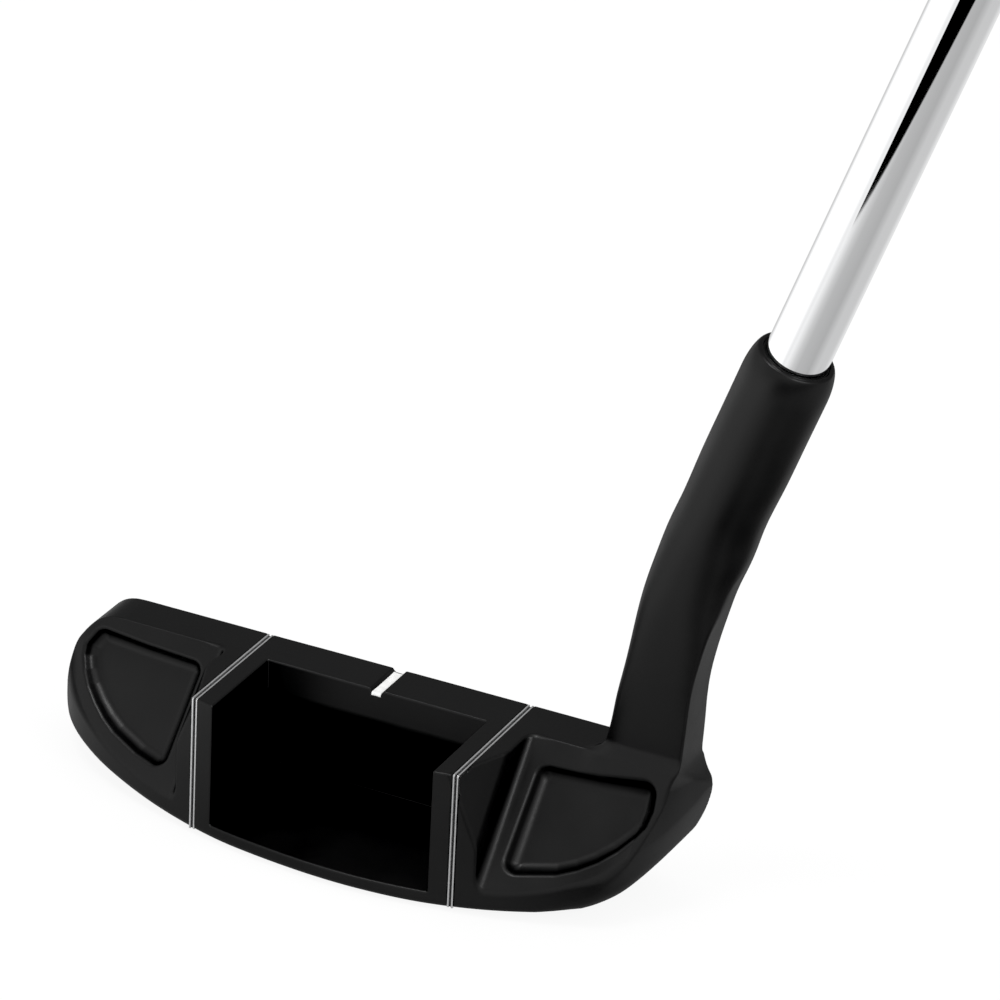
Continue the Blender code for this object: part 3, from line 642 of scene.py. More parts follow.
# ---------------------------------------------------------------- head
def head_piece():
    pitch = 0.21
    grid, lo = sample(pitch)
    verts, quads = surface_nets(grid, lo, pitch)
    del grid
    raw = new_piece("head_raw", verts, quads)
    limit = 192000
    thin = raw.modifiers.new("thin", "DECIMATE")
    thin.ratio = min(1.0, limit / (2 * len(quads)))
    thin.use_collapse_triangulate = True
    mesh = bpy.data.meshes.new_from_object(raw.evaluated_get(bpy.context.evaluated_depsgraph_get()))
    bpy.data.objects.remove(raw)
    co = np.empty(len(mesh.vertices) * 3, np.float32)
    mesh.vertices.foreach_get("co", co)
    points = co.reshape(-1, 3).astype(float) / MM - np.array([0, FRONT_Y, 0])
    # draw the thinned vertices back on to the true surface
    for _ in range(2):
        distance, normal, gradient = normals_at(points)
        points -= normal * np.clip(distance / np.maximum(gradient, 0.3), -0.12, 0.12)[:, None]
    normals = normals_at(points, reach=0.035)[1]
    corners = np.empty(len(mesh.loops), np.int32)
    mesh.loops.foreach_get("vertex_index", corners)
    bpy.data.meshes.remove(mesh)
    return new_piece("head_skin", points, corners.reshape(-1, 3), normals)


# ---------------------------------------------------------------- paint and metal set into the head
INLAY_HALF, INLAY_WALL = GROOVE_W / 2 - INLAY_GAP, 0.27
INLAY_FLOOR, INLAY_BASE, INLAY_BEVEL = -0.30, -0.50, 0.035
INLAY_SINK, INLAY_BEND_R = 0.045, 0.30
SIGHT_HALF, SIGHT_HOLLOW, SIGHT_BASE = 0.76, 0.07, -0.22
SIGHT_LIFT, SIGHT_BEND_R = 0.15, 0.32
SIGHT_REAR_Y, SIGHT_FRONT_Y = -TOP_W - 0.07, 0.30


def rear_at(x, z):
    """y of the blank's rear face at (x, z)."""
    y = np.linspace(-28.0, -8.0, 401)
    d = plan_sd(np.full(401, x), y, z)
    k = int(np.argmax(d < 0))
    return float(y[k - 1] + (y[k] - y[k - 1]) * d[k - 1] / (d[k - 1] - d[k]))


def face_at(x):
    """y of the striking face's top edge at x."""
    return (FACE_OUT + float(face_skew(x))) / math.cos(LOFT)


def inlay(name, x):
    """Bent metal channel let into a wing: over its top and down its rear face."""
    top = TOP_Z + 0.08 - INLAY_SINK
    bend_y = rear_at(x, TOP_Z - 0.3) + INLAY_SINK + INLAY_BEND_R
    bend_z = top - INLAY_BEND_R
    path = [((x, y, top), (0, 0, 1)) for y in np.linspace(face_at(x) - 0.20, bend_y + 0.2, 40)]
    for k in range(9):
        angle = math.radians(90 * k / 8)
        sin, cos = math.sin(angle), math.cos(angle)
        path.append(((x, bend_y - INLAY_BEND_R * sin, bend_z + INLAY_BEND_R * cos), (0, -sin, cos)))
    for z in np.linspace(bend_z - 0.3, 0.5, 40):
        path.append(((x, rear_at(x, z) + INLAY_SINK, z), (0, -1, 0)))
    half, wall, bevel = INLAY_HALF, INLAY_WALL, INLAY_BEVEL
    section = [(-half, INLAY_BASE), (-half, -bevel), (-half + bevel, 0), (-half + wall - bevel, 0),
               (-half + wall, -bevel), (-half + wall, INLAY_FLOOR),
               (half - wall, INLAY_FLOOR), (half - wall, -bevel), (half - wall + bevel, 0),
               (half - bevel, 0), (half, -bevel), (half, INLAY_BASE)]
    return strip(name, path, section, sharp=40)


def sight_fill():
    """Enamel lying in the sight notch, hollow across its width and rolled over both ends."""
    r = SIGHT_BEND_R
    rear_y, front_y = SIGHT_REAR_Y + r, SIGHT_FRONT_Y - r
    rear_z = notch_floor(rear_y) + SIGHT_LIFT
    front_z = notch_floor(front_y) + SIGHT_LIFT
    path = [((0, SIGHT_REAR_Y, z), (0, -1, 0)) for z in np.linspace(rear_z - 0.44, rear_z - r, 4)[:-1]]
    for k in range(9):
        angle = math.radians(90 * k / 8)
        sin, cos = math.sin(angle), math.cos(angle)
        path.append(((0, rear_y - r * cos, rear_z - r + r * sin), (0, -cos, sin)))
    for y in np.linspace(rear_y, front_y, 30)[1:]:
        path.append(((0, y, notch_floor(y) + SIGHT_LIFT), (0, 0, 1)))
    for k in range(1, 7):
        angle = math.radians(90 * k / 6)
        sin, cos = math.sin(angle), math.cos(angle)
        path.append(((0, front_y + r * sin, front_z - r + r * cos), (0, sin, cos)))
    section = [(a * SIGHT_HALF, SIGHT_HOLLOW * a * a - 0.01) for a in np.linspace(-1, 1, 13)]
    section += [(side * SIGHT_HALF * 0.98, SIGHT_BASE) for side in (1, -1)]
    return strip("sight_line_enamel", path, section, sharp=60)


# ---------------------------------------------------------------- shaft and its bond
def end_station(corner, reach):
    """Station of a tube's end from its box corner; reach is the radius, negative at the top."""
    return (corner.z / MM + reach * AXIS.x) / AXIS.z


def shaft_r(s):
    if s < MOUTH_S + SHAFT_PARALLEL:
        return SHAFT_TIP_R
    t = (s - MOUTH_S - SHAFT_PARALLEL) / (LENGTH - MOUTH_S - SHAFT_PARALLEL)
    return SHAFT_TIP_R + (SHAFT_BUTT_R - SHAFT_TIP_R) * t


def shaft_piece():
    low, high, chamfer = end_station(shaft_lo, SHAFT_TIP_R), end_station(shaft_hi, -SHAFT_BUTT_R), 0.2
    outer = [(s, shaft_r(s)) for s in np.linspace(low + chamfer, high - chamfer, 60)]
    inner = [(s, shaft_r(s) - SHAFT_WALL) for s in np.linspace(high - 0.1, low + 0.1, 20)]
    profile = ([(low, shaft_r(low) - chamfer)] + outer + [(high, shaft_r(high) - chamfer)] + inner)
    return turned("shaft_polished", profile, sides=192, sharp=50)


def bond_piece():
    """Bond between shaft and bore, its top ring slightly hollow."""
    low, top, hollow = end_station(bond_lo, BORE_R) + 0.2, MOUTH_S - 0.22, 0.10
    inner, outer = SHAFT_TIP_R + 0.02, BORE_R - 0.02
    ring = [(top - hollow * (1 - (2 * t - 1) ** 2), outer + (inner - outer) * t)
            for t in np.linspace(0, 1, 7)]
    stations = np.linspace(low + 1, top - 0.6, 12)
    profile = ([(low, outer)] + [(s, outer) for s in stations] + ring
               + [(s, inner) for s in stations[::-1]] + [(low, inner)])
    return turned("bond_line", profile, sides=128, sharp=50)


# ---------------------------------------------------------------- grip and cap
# share of the length, half width, thumb side, palm side, squareness
GRIP = [
    (0.0, 9.6, 9.3, 9.3, 2.0), (0.012, 10.2, 9.9, 9.9, 2.05), (0.10, 10.6, 9.9, 10.6, 2.2),
    (0.25, 11.2, 9.9, 11.3, 2.4), (0.45, 11.9, 9.9, 12.2, 2.5), (0.62, 12.2, 9.9, 13.0, 2.5),
    (0.75, 12.3, 9.9, 14.2, 2.45), (0.85, 12.5, 9.9, 16.0, 2.4), (0.92, 12.7, 9.9, 17.3, 2.35),
    (0.97, 12.8, 9.9, 17.6, 2.3), (1.0, 12.8, 9.9, 17.4, 2.3)]
GRIP_LOW, GRIP_TOP = LENGTH - GRIP_L, LENGTH - CAP_T
GRIP_SHARES, *GRIP_CURVES = np.array(GRIP).T
FLAT_CROWN, FLAT_EASE = 1.16, 0.35      # section is drawn this much too high, then flattened
FLAT_DEPTH = 1.2                        # the thumb flat reaches this far below its top
# sunk lane along the flat: half width, end distance, edge width, depth
LANE_HALF, LANE_END, LANE_EDGE, LANE_D = 5.9, 22.0, 0.5, 0.34
# studs in the lane: spacing, height, then radius and edge width as shares of the spacing
STUD_PITCH, STUD_H, STUD_R, STUD_EDGE = 2.0, 0.30, 0.36, 0.12
STUD_MARGIN, STUD_FADE = 0.6, 0.3
# crossed grooves: number round the girth, spacing along, half width and edge as shares, depth
CROSS_COUNT, CROSS_PITCH, CROSS_HALF, CROSS_EDGE, CROSS_D = 24.0, 5.2, 0.12, 0.09, 0.30
CROSS_LOW, CROSS_HIGH, CROSS_FADE = 15.0, 14.0, 3.0
CROSS_PLAIN, CROSS_PLAIN_FADE = 0.14, 0.8   # share of girth left plain each side of the flat's middle
# sunk rings: two near the lower end, one under the cap; depth, half width
RING_AT = (GRIP_LOW + 5.0, GRIP_LOW + 8.0, GRIP_TOP - 6.0)
RING_D, RING_HALF = 0.35, 0.75
LIP_L, LIP_R = 0.6, 0.5                 # rounded ends of the sleeve


def grip_section(half_width, thumb, palm, square, count):
    """Evenly spaced section points from the middle of the thumb flat.

    Returns thumbward and sideways places, the outward direction's two parts, the distance round
    from that middle, and the girth.
    """
    angle = np.linspace(0, 2 * np.pi, 1441)[:-1] + np.pi / 2
    cos, sin = np.cos(angle), np.sin(angle)
    across = half_width * np.sign(cos) * np.abs(cos) ** (2 / square)
    high = np.sign(sin) * np.abs(sin) ** (2 / square)
    high = np.where(high > 0, high * thumb * FLAT_CROWN, high * palm)
    start = thumb - FLAT_EASE
    eased = start + FLAT_EASE * (1 - np.exp(-(high - thumb + FLAT_EASE) / FLAT_EASE))
    high = np.where(high > start, eased, high)
    points = np.stack([high, across], 1)
    closed = np.concatenate([points, points[:1]])
    run = np.concatenate([[0], np.cumsum(np.hypot(*np.diff(closed, axis=0).T))])
    girth = run[-1]
    at = girth * np.arange(count) / count
    thumbward, sideways = np.interp(at, run, closed[:, 0]), np.interp(at, run, closed[:, 1])
    run_t = np.roll(thumbward, -1) - np.roll(thumbward, 1)
    run_s = np.roll(sideways, -1) - np.roll(sideways, 1)
    length = np.hypot(run_t, run_s)
    out_t, out_s = run_s / length, -run_t / length
    if out_t[0] < 0:
        out_t, out_s = -out_t, -out_s
    around = np.where(at > girth / 2, at - girth, at)
    return thumbward, sideways, out_t, out_s, around, girth


def flat_relief(s, sideways):
    """Sunk lane with rounded ends on the thumb flat, holding staggered studs."""
    long = min(s - (GRIP_LOW + LANE_END), (GRIP_TOP - LANE_END) - s)
    edge = LANE_HALF - max(0.0, 1 - long / LANE_HALF) ** 2 * LANE_HALF
    off = np.abs(sideways)
    in_lane = np.clip((edge - off) / LANE_EDGE, 0, 1) * (1.0 if long > 0 else 0.0)
    row = math.floor(s / STUD_PITCH)
    column = sideways / STUD_PITCH + (0.0 if row % 2 else 0.5)
    u = column - np.round(column)
    v = (s / STUD_PITCH - row) - 0.5
    stud = np.clip((STUD_R - np.sqrt(u * u + v * v)) / STUD_EDGE, 0, 1)
    studs_on = np.clip((edge - STUD_MARGIN - off) / STUD_FADE, 0, 1)
    return in_lane * (LANE_D - STUD_H * stud * studs_on)


def side_relief(s, around, girth):
    """Crossed slanting grooves on sides and palm, leaving low diamonds."""
    ends = step((0, CROSS_FADE), s - (GRIP_LOW + CROSS_LOW)) * \
        step((0, CROSS_FADE), (GRIP_TOP - CROSS_HIGH) - s)
    turn, climb = around / girth * CROSS_COUNT, s / CROSS_PITCH
    grooves = np.maximum(*(np.clip((CROSS_HALF - np.abs(p - np.round(p))) / CROSS_EDGE, 0, 1)
                           for p in (turn + climb, turn - climb)))
    clear = np.clip((np.abs(around) - girth * CROSS_PLAIN) / CROSS_PLAIN_FADE, 0, 1)
    return CROSS_D * grooves * ends * clear


def grip_relief(s, around, sideways, thumbward, girth, thumb):
    """Depth of the moulded pattern into the surface."""
    rings = sum(RING_D * max(0.0, 1 - abs(s - at) / RING_HALF) for at in RING_AT)
    return np.where(thumbward > thumb - FLAT_DEPTH, flat_relief(s, sideways),
                    side_relief(s, around, girth)) + rings


def grip_piece():
    pitch = 0.52
    count = 168
    rows = []
    ends = np.array([0, 0.1, 0.3, LIP_L])
    stations = np.concatenate([GRIP_LOW + ends, np.arange(GRIP_LOW + 1.0, GRIP_TOP - 0.8, pitch),
                               GRIP_TOP - ends[::-1]])
    for s in stations:
        share = np.clip((s - GRIP_LOW) / (GRIP_TOP - GRIP_LOW), 0, 1)
        size = [float(np.interp(share, GRIP_SHARES, curve)) for curve in GRIP_CURVES]
        thumbward, sideways, out_t, out_s, around, girth = grip_section(*size, count)
        depth = grip_relief(s, around, sideways, thumbward, girth, thumb=size[1])
        lip = max(0.0, 1 - (s - GRIP_LOW) / LIP_L, 1 - (GRIP_TOP - s) / LIP_L)
        depth = depth + LIP_R * (1 - math.sqrt(max(0.0, 1 - lip * lip)))
        rows.append(section_ring(s, thumbward - out_t * depth, sideways - out_s * depth))
    # inner wall, running the same way round as the outside
    angle = 2 * np.pi * np.arange(count) / count
    turn = np.sign(rows[0][1] @ SIDE - rows[0][-1] @ SIDE)
    for s in np.linspace(GRIP_TOP - 0.2, GRIP_LOW + 0.2, 12):
        r = shaft_r(s) + 0.9
        rows.append(section_ring(s, r * np.cos(angle), r * turn * np.sin(angle)))
    return closed_tube("grip_moulding", rows)


CAP_SECTION = dict(half_width=12.72, thumb=9.83, palm=17.25, square=2.3)
CAP_INSET_REF = 9.8                     # an inset is a share of this, taken off the whole section
CAP_EDGE_R = 1.5


def cap_piece():
    """Butt cap with a ring groove in its top and a hole through its middle."""
    thumbward, sideways = grip_section(**CAP_SECTION, count=128)[:2]

    def ring(s, inset_by):
        scale = max(0.0, 1 - inset_by / CAP_INSET_REF)
        return section_ring(s, thumbward * scale, sideways * scale)

    # a shallow groove shows round the joint; inside it the cap all but sits on the sleeve
    seat, low, shoulder = GRIP_TOP + 0.03, GRIP_TOP + 0.3, LENGTH - CAP_EDGE_R
    # (station, inset)
    rings = [(seat, 0.95), (low - 0.03, 0.80), (low, 0.40), (low + 0.15, 0.08), (low + 0.4, 0.0),
             (shoulder, 0.0)]
    for k in range(1, 7):
        angle = math.radians(90 * k / 6)
        rings.append((shoulder + CAP_EDGE_R * math.sin(angle), CAP_EDGE_R * (1 - math.cos(angle))))
    # (depth below the top, inset)
    rings += [(LENGTH - depth, inset_by) for depth, inset_by in (
        (0, 2.2), (0.05, 2.4), (0.35, 2.6), (0.40, 2.8), (0.40, 3.3), (0.35, 3.5), (0.10, 3.7),
        (0.06, 3.9), (0.02, 5.4), (0, 6.6))]
    rows = [ring(s, inset_by) for s, inset_by in rings]
    reach = np.hypot(thumbward, sideways)
    # hole: (radius, station)
    for r, s in ((2.3, LENGTH), (1.9, LENGTH - 0.05), (1.5, LENGTH - 0.25), (1.2, LENGTH - 0.5),
                 (1.0, LENGTH - 0.9), (1.0, seat + 0.2), (1.2, seat)):
        rows.append(section_ring(s, thumbward / reach * r, sideways / reach * r))
    rows.append(ring(seat, 5.0))
    return closed_tube("butt_cap", rows)


# ---------------------------------------------------------------- finishes
class Tree:
    """Short way to add shader nodes; an input is a value or a socket."""

    def __init__(self, tree):
        self.tree = tree

    def put(self, socket, value):
        if isinstance(value, bpy.types.NodeSocket):
            self.tree.links.new(value, socket)
        else:
            socket.default_value = value

    def add(self, kind, *inputs, **settings):
        """New node with its settings made and its first inputs filled."""
        node = self.tree.nodes.new("ShaderNode" + kind)
        for name, value in settings.items():
            setattr(node, name, value)
        for socket, value in zip(node.inputs, inputs):
            self.put(socket, value)
        return node

    def span(self, value, over, to=(0, 1), smooth=False):
        settings = {"interpolation_type": "SMOOTHSTEP"} if smooth else {}
        return self.add("MapRange", value, *over, *to, **settings).outputs[0]


class Material(Tree):
    """Node material whose textures follow the position in metres."""

    def __init__(self, name):
        self.mat = bpy.data.materials.new(name)
        self.mat.use_nodes = True
        super().__init__(self.mat.node_tree)
        self.bsdf = self.tree.nodes["Principled BSDF"]
        self.coord = self.add("NewGeometry").outputs["Position"]

    def math(self, operation, a, b=0.0):
        return self.add("Math", a, b, 0.0, operation=operation).outputs[0]

    def noise(self, scale, detail=2.0, rough=0.5, vector=None):
        node = self.add("TexNoise", vector or self.coord)
        for name, value in (("Scale", scale), ("Detail", detail), ("Roughness", rough)):
            node.inputs[name].default_value = value
        return node.outputs["Fac"]

    def voronoi(self, scale):
        node = self.add("TexVoronoi", self.coord)
        node.inputs["Scale"].default_value = scale
        return node.outputs["Distance"]

    def scaled(self, factors, vector=None):
        return self.add("VectorMath", vector or self.coord, factors, operation="MULTIPLY").outputs[0]

    def rotated(self, axis_to_z, factors):
        """Position turned so that the given direction becomes Z, then stretched."""
        node = self.add("VectorRotate", self.coord, rotation_type="EULER_XYZ")
        turn = axis_to_z.rotation_difference(Vector((0, 0, 1)))
        node.inputs["Rotation"].default_value = turn.to_euler()
        return self.scaled(factors, node.outputs[0])

    def xyz(self):
        return self.add("SeparateXYZ", self.coord).outputs

    def mix(self, factor, a, b):
        node = self.add("Mix", data_type="RGBA")
        self.put(node.inputs["Factor"], factor)
        for end, value in (("A_Color", a), ("B_Color", b)):
            self.put([i for i in node.inputs if i.identifier == end][0], value)
        return [o for o in node.outputs if o.identifier == "Result_Color"][0]

    def bump(self, height, strength, distance, normal=None):
        """Distance is in metres."""
        node = self.add("Bump")
        node.inputs["Strength"].default_value = strength
        node.inputs["Distance"].default_value = distance
        self.put(node.inputs["Height"], height)
        if normal:
            self.put(node.inputs["Normal"], normal)
        return node.outputs[0]

    def set(self, **values):
        names = {"color": "Base Color", "rough": "Roughness", "metal": "Metallic",
                 "spec": "Specular IOR Level", "coat": "Coat Weight", "normal": "Normal",
                 "sheen": "Sheen Weight"}
        for key, value in values.items():
            self.put(self.bsdf.inputs[names[key]], value)
        return self.mat


def rgba(r, g=None, b=None):
    """Colour with full alpha; one value gives a grey."""
    return (r, r if g is None else g, r if b is None else b, 1.0)


def black_paint():
    mat = Material("black_paint")
    cloud = mat.noise(scale=90, detail=3)
    grain = mat.noise(scale=9000, detail=2, rough=0.6)
    peel = mat.noise(scale=1500, detail=2, rough=0.45)
    color = mat.mix(mat.span(cloud, over=(0.35, 0.65)),
                    rgba(0.0016, 0.0016, 0.0017), rgba(0.0030, 0.0030, 0.0031))
    color = mat.mix(mat.span(grain, over=(0.60, 0.78), to=(0, 0.5)), color, rgba(0.006))
    rough = mat.math("ADD", mat.span(cloud, over=(0.3, 0.7), to=(0.33, 0.41)),
                     mat.span(grain, over=(0.3, 0.7), to=(-0.03, 0.03)))
    normal = mat.bump(peel, strength=0.10, distance=0.00006)
    normal = mat.bump(grain, strength=0.16, distance=0.00002, normal=normal)
    # reflects less where the surface turns away from the eye
    weight = mat.add("LayerWeight")
    weight.inputs["Blend"].default_value = 0.5
    square_on = mat.math("SUBTRACT", 1.0, weight.outputs["Facing"])
    falloff, peak = 1.5, 0.42
    level = mat.math("MULTIPLY", mat.math("POWER", square_on, falloff), peak)
    return mat.set(color=color, rough=rough, metal=0.0, spec=level, normal=normal)


def white_enamel():
    mat = Material("white_enamel")
    mottle = mat.noise(scale=1400, detail=3)
    grain = mat.noise(scale=7000, detail=2)
    color = mat.mix(mat.span(mottle, over=(0.35, 0.7)), rgba(0.86, 0.86, 0.85), rgba(0.74, 0.74, 0.735))
    waves = mat.bump(mottle, strength=0.3, distance=0.00008)
    return mat.set(color=color, rough=mat.span(mottle, over=(0.3, 0.7), to=(0.26, 0.40)),
                   spec=0.5, coat=0.2,
                   normal=mat.bump(grain, strength=0.2, distance=0.00003, normal=waves))


def inlay_metal():
    """Bright channel walls with black paint left lying between them."""
    mat = Material("bright_metal")
    brush = mat.noise(scale=2500, detail=3, rough=0.6, vector=mat.scaled((6.0, 0.5, 0.5)))
    fleck = mat.noise(scale=5000, detail=2)
    from_centre = mat.math("ABSOLUTE", mat.xyz()[0])
    gap = mat.math("ABSOLUTE", mat.math("SUBTRACT", from_centre, GROOVE_X * MM))
    inner = (INLAY_HALF - INLAY_WALL) * MM
    floor_mask = mat.span(gap, over=(inner - 0.00001, inner + 0.00003), to=(1, 0))
    metal = mat.mix(mat.span(brush, over=(0.35, 0.65)),
                    rgba(0.66, 0.665, 0.67), rgba(0.90, 0.90, 0.905))
    color = mat.mix(floor_mask, metal, rgba(0.012))
    extra_rough = 0.2                   # of the painted floor
    rough = mat.math("ADD", mat.span(brush, over=(0.3, 0.7), to=(0.20, 0.32)),
                     mat.math("MULTIPLY", floor_mask, extra_rough))
    brushed = mat.bump(brush, strength=0.25, distance=0.00002)
    return mat.set(color=color, rough=rough, metal=mat.math("SUBTRACT", 1.0, floor_mask),
                   normal=mat.bump(fleck, strength=0.12, distance=0.00002, normal=brushed))


def chrome():
    mat = Material("chrome_plate")
    along = mat.rotated(AXIS, factors=(1, 1, 0.02))
    polish = mat.noise(scale=2600, detail=2, rough=0.6, vector=along)
    haze = mat.noise(scale=45, detail=3)
    ripple = mat.noise(scale=700, detail=2, rough=0.4)
    color = mat.mix(haze, rgba(0.86, 0.865, 0.875), rgba(0.90, 0.905, 0.91))
    rough = mat.math("ADD", mat.span(haze, over=(0.35, 0.7), to=(0.022, 0.05)),
                     mat.span(polish, over=(0.4, 0.7), to=(0.0, 0.02)))
    lines = mat.bump(polish, strength=0.03, distance=0.000005)
    return mat.set(color=color, rough=rough, metal=1.0,
                   normal=mat.bump(ripple, strength=0.02, distance=0.00003, normal=lines))


def epoxy():
    mat = Material("epoxy")
    mottle = mat.noise(scale=1800, detail=3)
    return mat.set(color=mat.mix(mottle, rgba(0.004), rgba(0.009)),
                   rough=mat.span(mottle, over=(0.3, 0.7), to=(0.34, 0.5)), spec=0.2,
                   normal=mat.bump(mottle, strength=0.4, distance=0.00008))


def rubber(name, base, speck, scale):
    mat = Material(name)
    grain = mat.noise(scale, detail=4, rough=0.6)
    cloud = mat.noise(scale=35, detail=3)
    pores = mat.voronoi(scale * 1.6)
    color = mat.mix(mat.span(cloud, over=(0.3, 0.7)), rgba(base), rgba(base * 1.45))
    color = mat.mix(mat.span(grain, over=(0.55, 0.75), to=(0, 0.5)), color, rgba(speck))
    rough = mat.math("ADD", mat.span(cloud, over=(0.3, 0.7), to=(0.52, 0.66)),
                     mat.span(grain, over=(0.3, 0.7), to=(-0.05, 0.05)))
    fine = mat.bump(grain, strength=0.35, distance=0.00006)
    return mat.set(color=color, rough=rough, sheen=0.06, spec=0.45,
                   normal=mat.bump(pores, strength=0.22, distance=0.00005, normal=fine))


def tape():
    mat = Material("tape")
    weave, cloud = mat.noise(scale=2400, detail=3), mat.noise(scale=120, detail=2)
    return mat.set(color=mat.mix(cloud, rgba(0.62, 0.58, 0.48), rgba(0.72, 0.68, 0.58)),
                   rough=mat.span(weave, over=(0.3, 0.7), to=(0.6, 0.8)),
                   normal=mat.bump(weave, strength=0.5, distance=0.00006))


def dress(mat, *objects):
    for obj in objects:
        obj.data.materials.clear()
        obj.data.materials.append(mat)


# ---------------------------------------------------------------- pieces
head = head_piece()
toe_line = inlay("toe_inlay_channel", -GROOVE_X)
heel_line = inlay("heel_inlay_channel", GROOVE_X)
sight = sight_fill()
shaft = shaft_piece()
bond = bond_piece()
grip = grip_piece()
cap = cap_piece()
for piece, part in ((head, "head_casting"), (toe_line, "toe_alignment_inlay"),
                    (heel_line, "heel_alignment_inlay"), (sight, "sight_line_fill"),
                    (shaft, "shaft_tube"), (bond, "hosel_epoxy"),
                    (grip, "grip_sleeve"), (cap, "grip_end_cap")):
    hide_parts(part)

dress(black_paint(), head)
dress(inlay_metal(), toe_line, heel_line)
dress(chrome(), shaft)
dress(white_enamel(), sight)
dress(epoxy(), bond)
dress(rubber("grip_rubber", base=0.014, speck=0.035, scale=2200), grip)
dress(rubber("cap_rubber", base=0.017, speck=0.04, scale=3000), cap)
dress(tape(), frame["nodes"]["grip_tape"])

# ---------------------------------------------------------------- studio
scene = bpy.context.scene
view = scene.view_settings
view.view_transform = "Standard"
view.look = "None"
view.exposure = 0.0
view.gamma = 1.0
view.use_curve_mapping = True
view.curve_mapping.black_level = (0.0032, 0.0032, 0.0032)
view.curve_mapping.update()

# reflected level of the sky: (steepness of the direction, level)
SKY_ENDS = (0.34, 0.66)
SKY_STOPS = ((0.14, 0.30), (0.30, 0.36), (0.50, 0.38), (0.80, 0.25))


def build_world():
    """White to the eye; glossy rays see a soft box, brighter to the rear and to the toe side."""
    world = bpy.data.worlds.new("studio")
    scene.world = world
    world.use_nodes = True
    sky = Tree(world.node_tree)
    background = sky.tree.nodes["Background"]
    background.inputs[0].default_value = rgba(1)
    ray = sky.add("LightPath").outputs

    def times(a, b):
        return sky.add("Math", a, b, operation="MULTIPLY").outputs[0]

    incoming = sky.add("NewGeometry").outputs["Incoming"]
    drop = sky.add("Math", sky.add("SeparateXYZ", incoming).outputs[2], operation="ABSOLUTE")
    ramp_node = sky.add("ValToRGB", drop.outputs[0])
    stops = ramp_node.color_ramp.elements
    for stop, level in zip(stops, SKY_ENDS):
        stop.color = rgba(level)
    for place, level in SKY_STOPS:
        stops.new(place).color = rgba(level)
    glossy = sky.add("RGBToBW", ramp_node.outputs[0]).outputs[0]
    x, y, z = sky.add("SeparateXYZ", sky.add("TexCoord").outputs["Generated"]).outputs
    gained = times(glossy, sky.span(y, over=(-0.35, 0.45), to=(1.9, 1.0)))
    toe_side = sky.span(x, over=(-0.78, -0.62), to=(1.6, 1.0))
    # a shaded stretch above the camera darkens the heel's ramp
    middle = sky.span(x, over=(-0.36, -0.20), to=(0.0, 1.0))
    high = sky.span(z, over=(0.42, 0.58), to=(0.0, 1.0))
    back = sky.span(y, over=(-0.60, -0.35), to=(1.0, 0.0))
    patch = times(times(middle, high), back)
    shade = sky.span(patch, over=(0.0, 1.0), to=(1.0, 0.38))
    shaded = times(times(gained, toe_side), shade)
    lit = sky.span(ray["Is Glossy Ray"], over=(0.0, 1.0), to=(1.0, shaded))
    sky.put(background.inputs[1], sky.span(ray["Is Camera Ray"], over=(0.0, 1.0), to=(lit, 1.0)))


build_world()

# painted reflection: the floor's glow, seen only by glossy rays, paints the studio round the shaft as
# polished metal sees it: (bearing from the shaft's foot, degrees; level)
PAINTED_REFLECTION_BEARINGS = [(72, 0.65), (133, 0.50), (150, 0.80), (163, 1.0), (236, 1.0), (250, 0.74), (260, 0.78),
            (283, 0.53), (300, 0.42), (340, 0.37), (366, 0.50), (400, 0.50), (431, 0.65)]
FIRST_BEARING = PAINTED_REFLECTION_BEARINGS[0][0]
# painted shadow: levels of the floor's glow close to the head, seen by glossy rays
SHADED_LEVEL_TOE, SHADED_LEVEL_REAR, SHADED_LEVEL_HEEL = 0.76, 0.37, 0.34   # levels of the floor close to the head
# levels of the painted dark patches and of the painted camera reflection in the floor's glow
PAINTED_PATCH_LEVEL, PAINTED_CAMERA_REFLECTION_LEVEL = 0.04, 0.0005


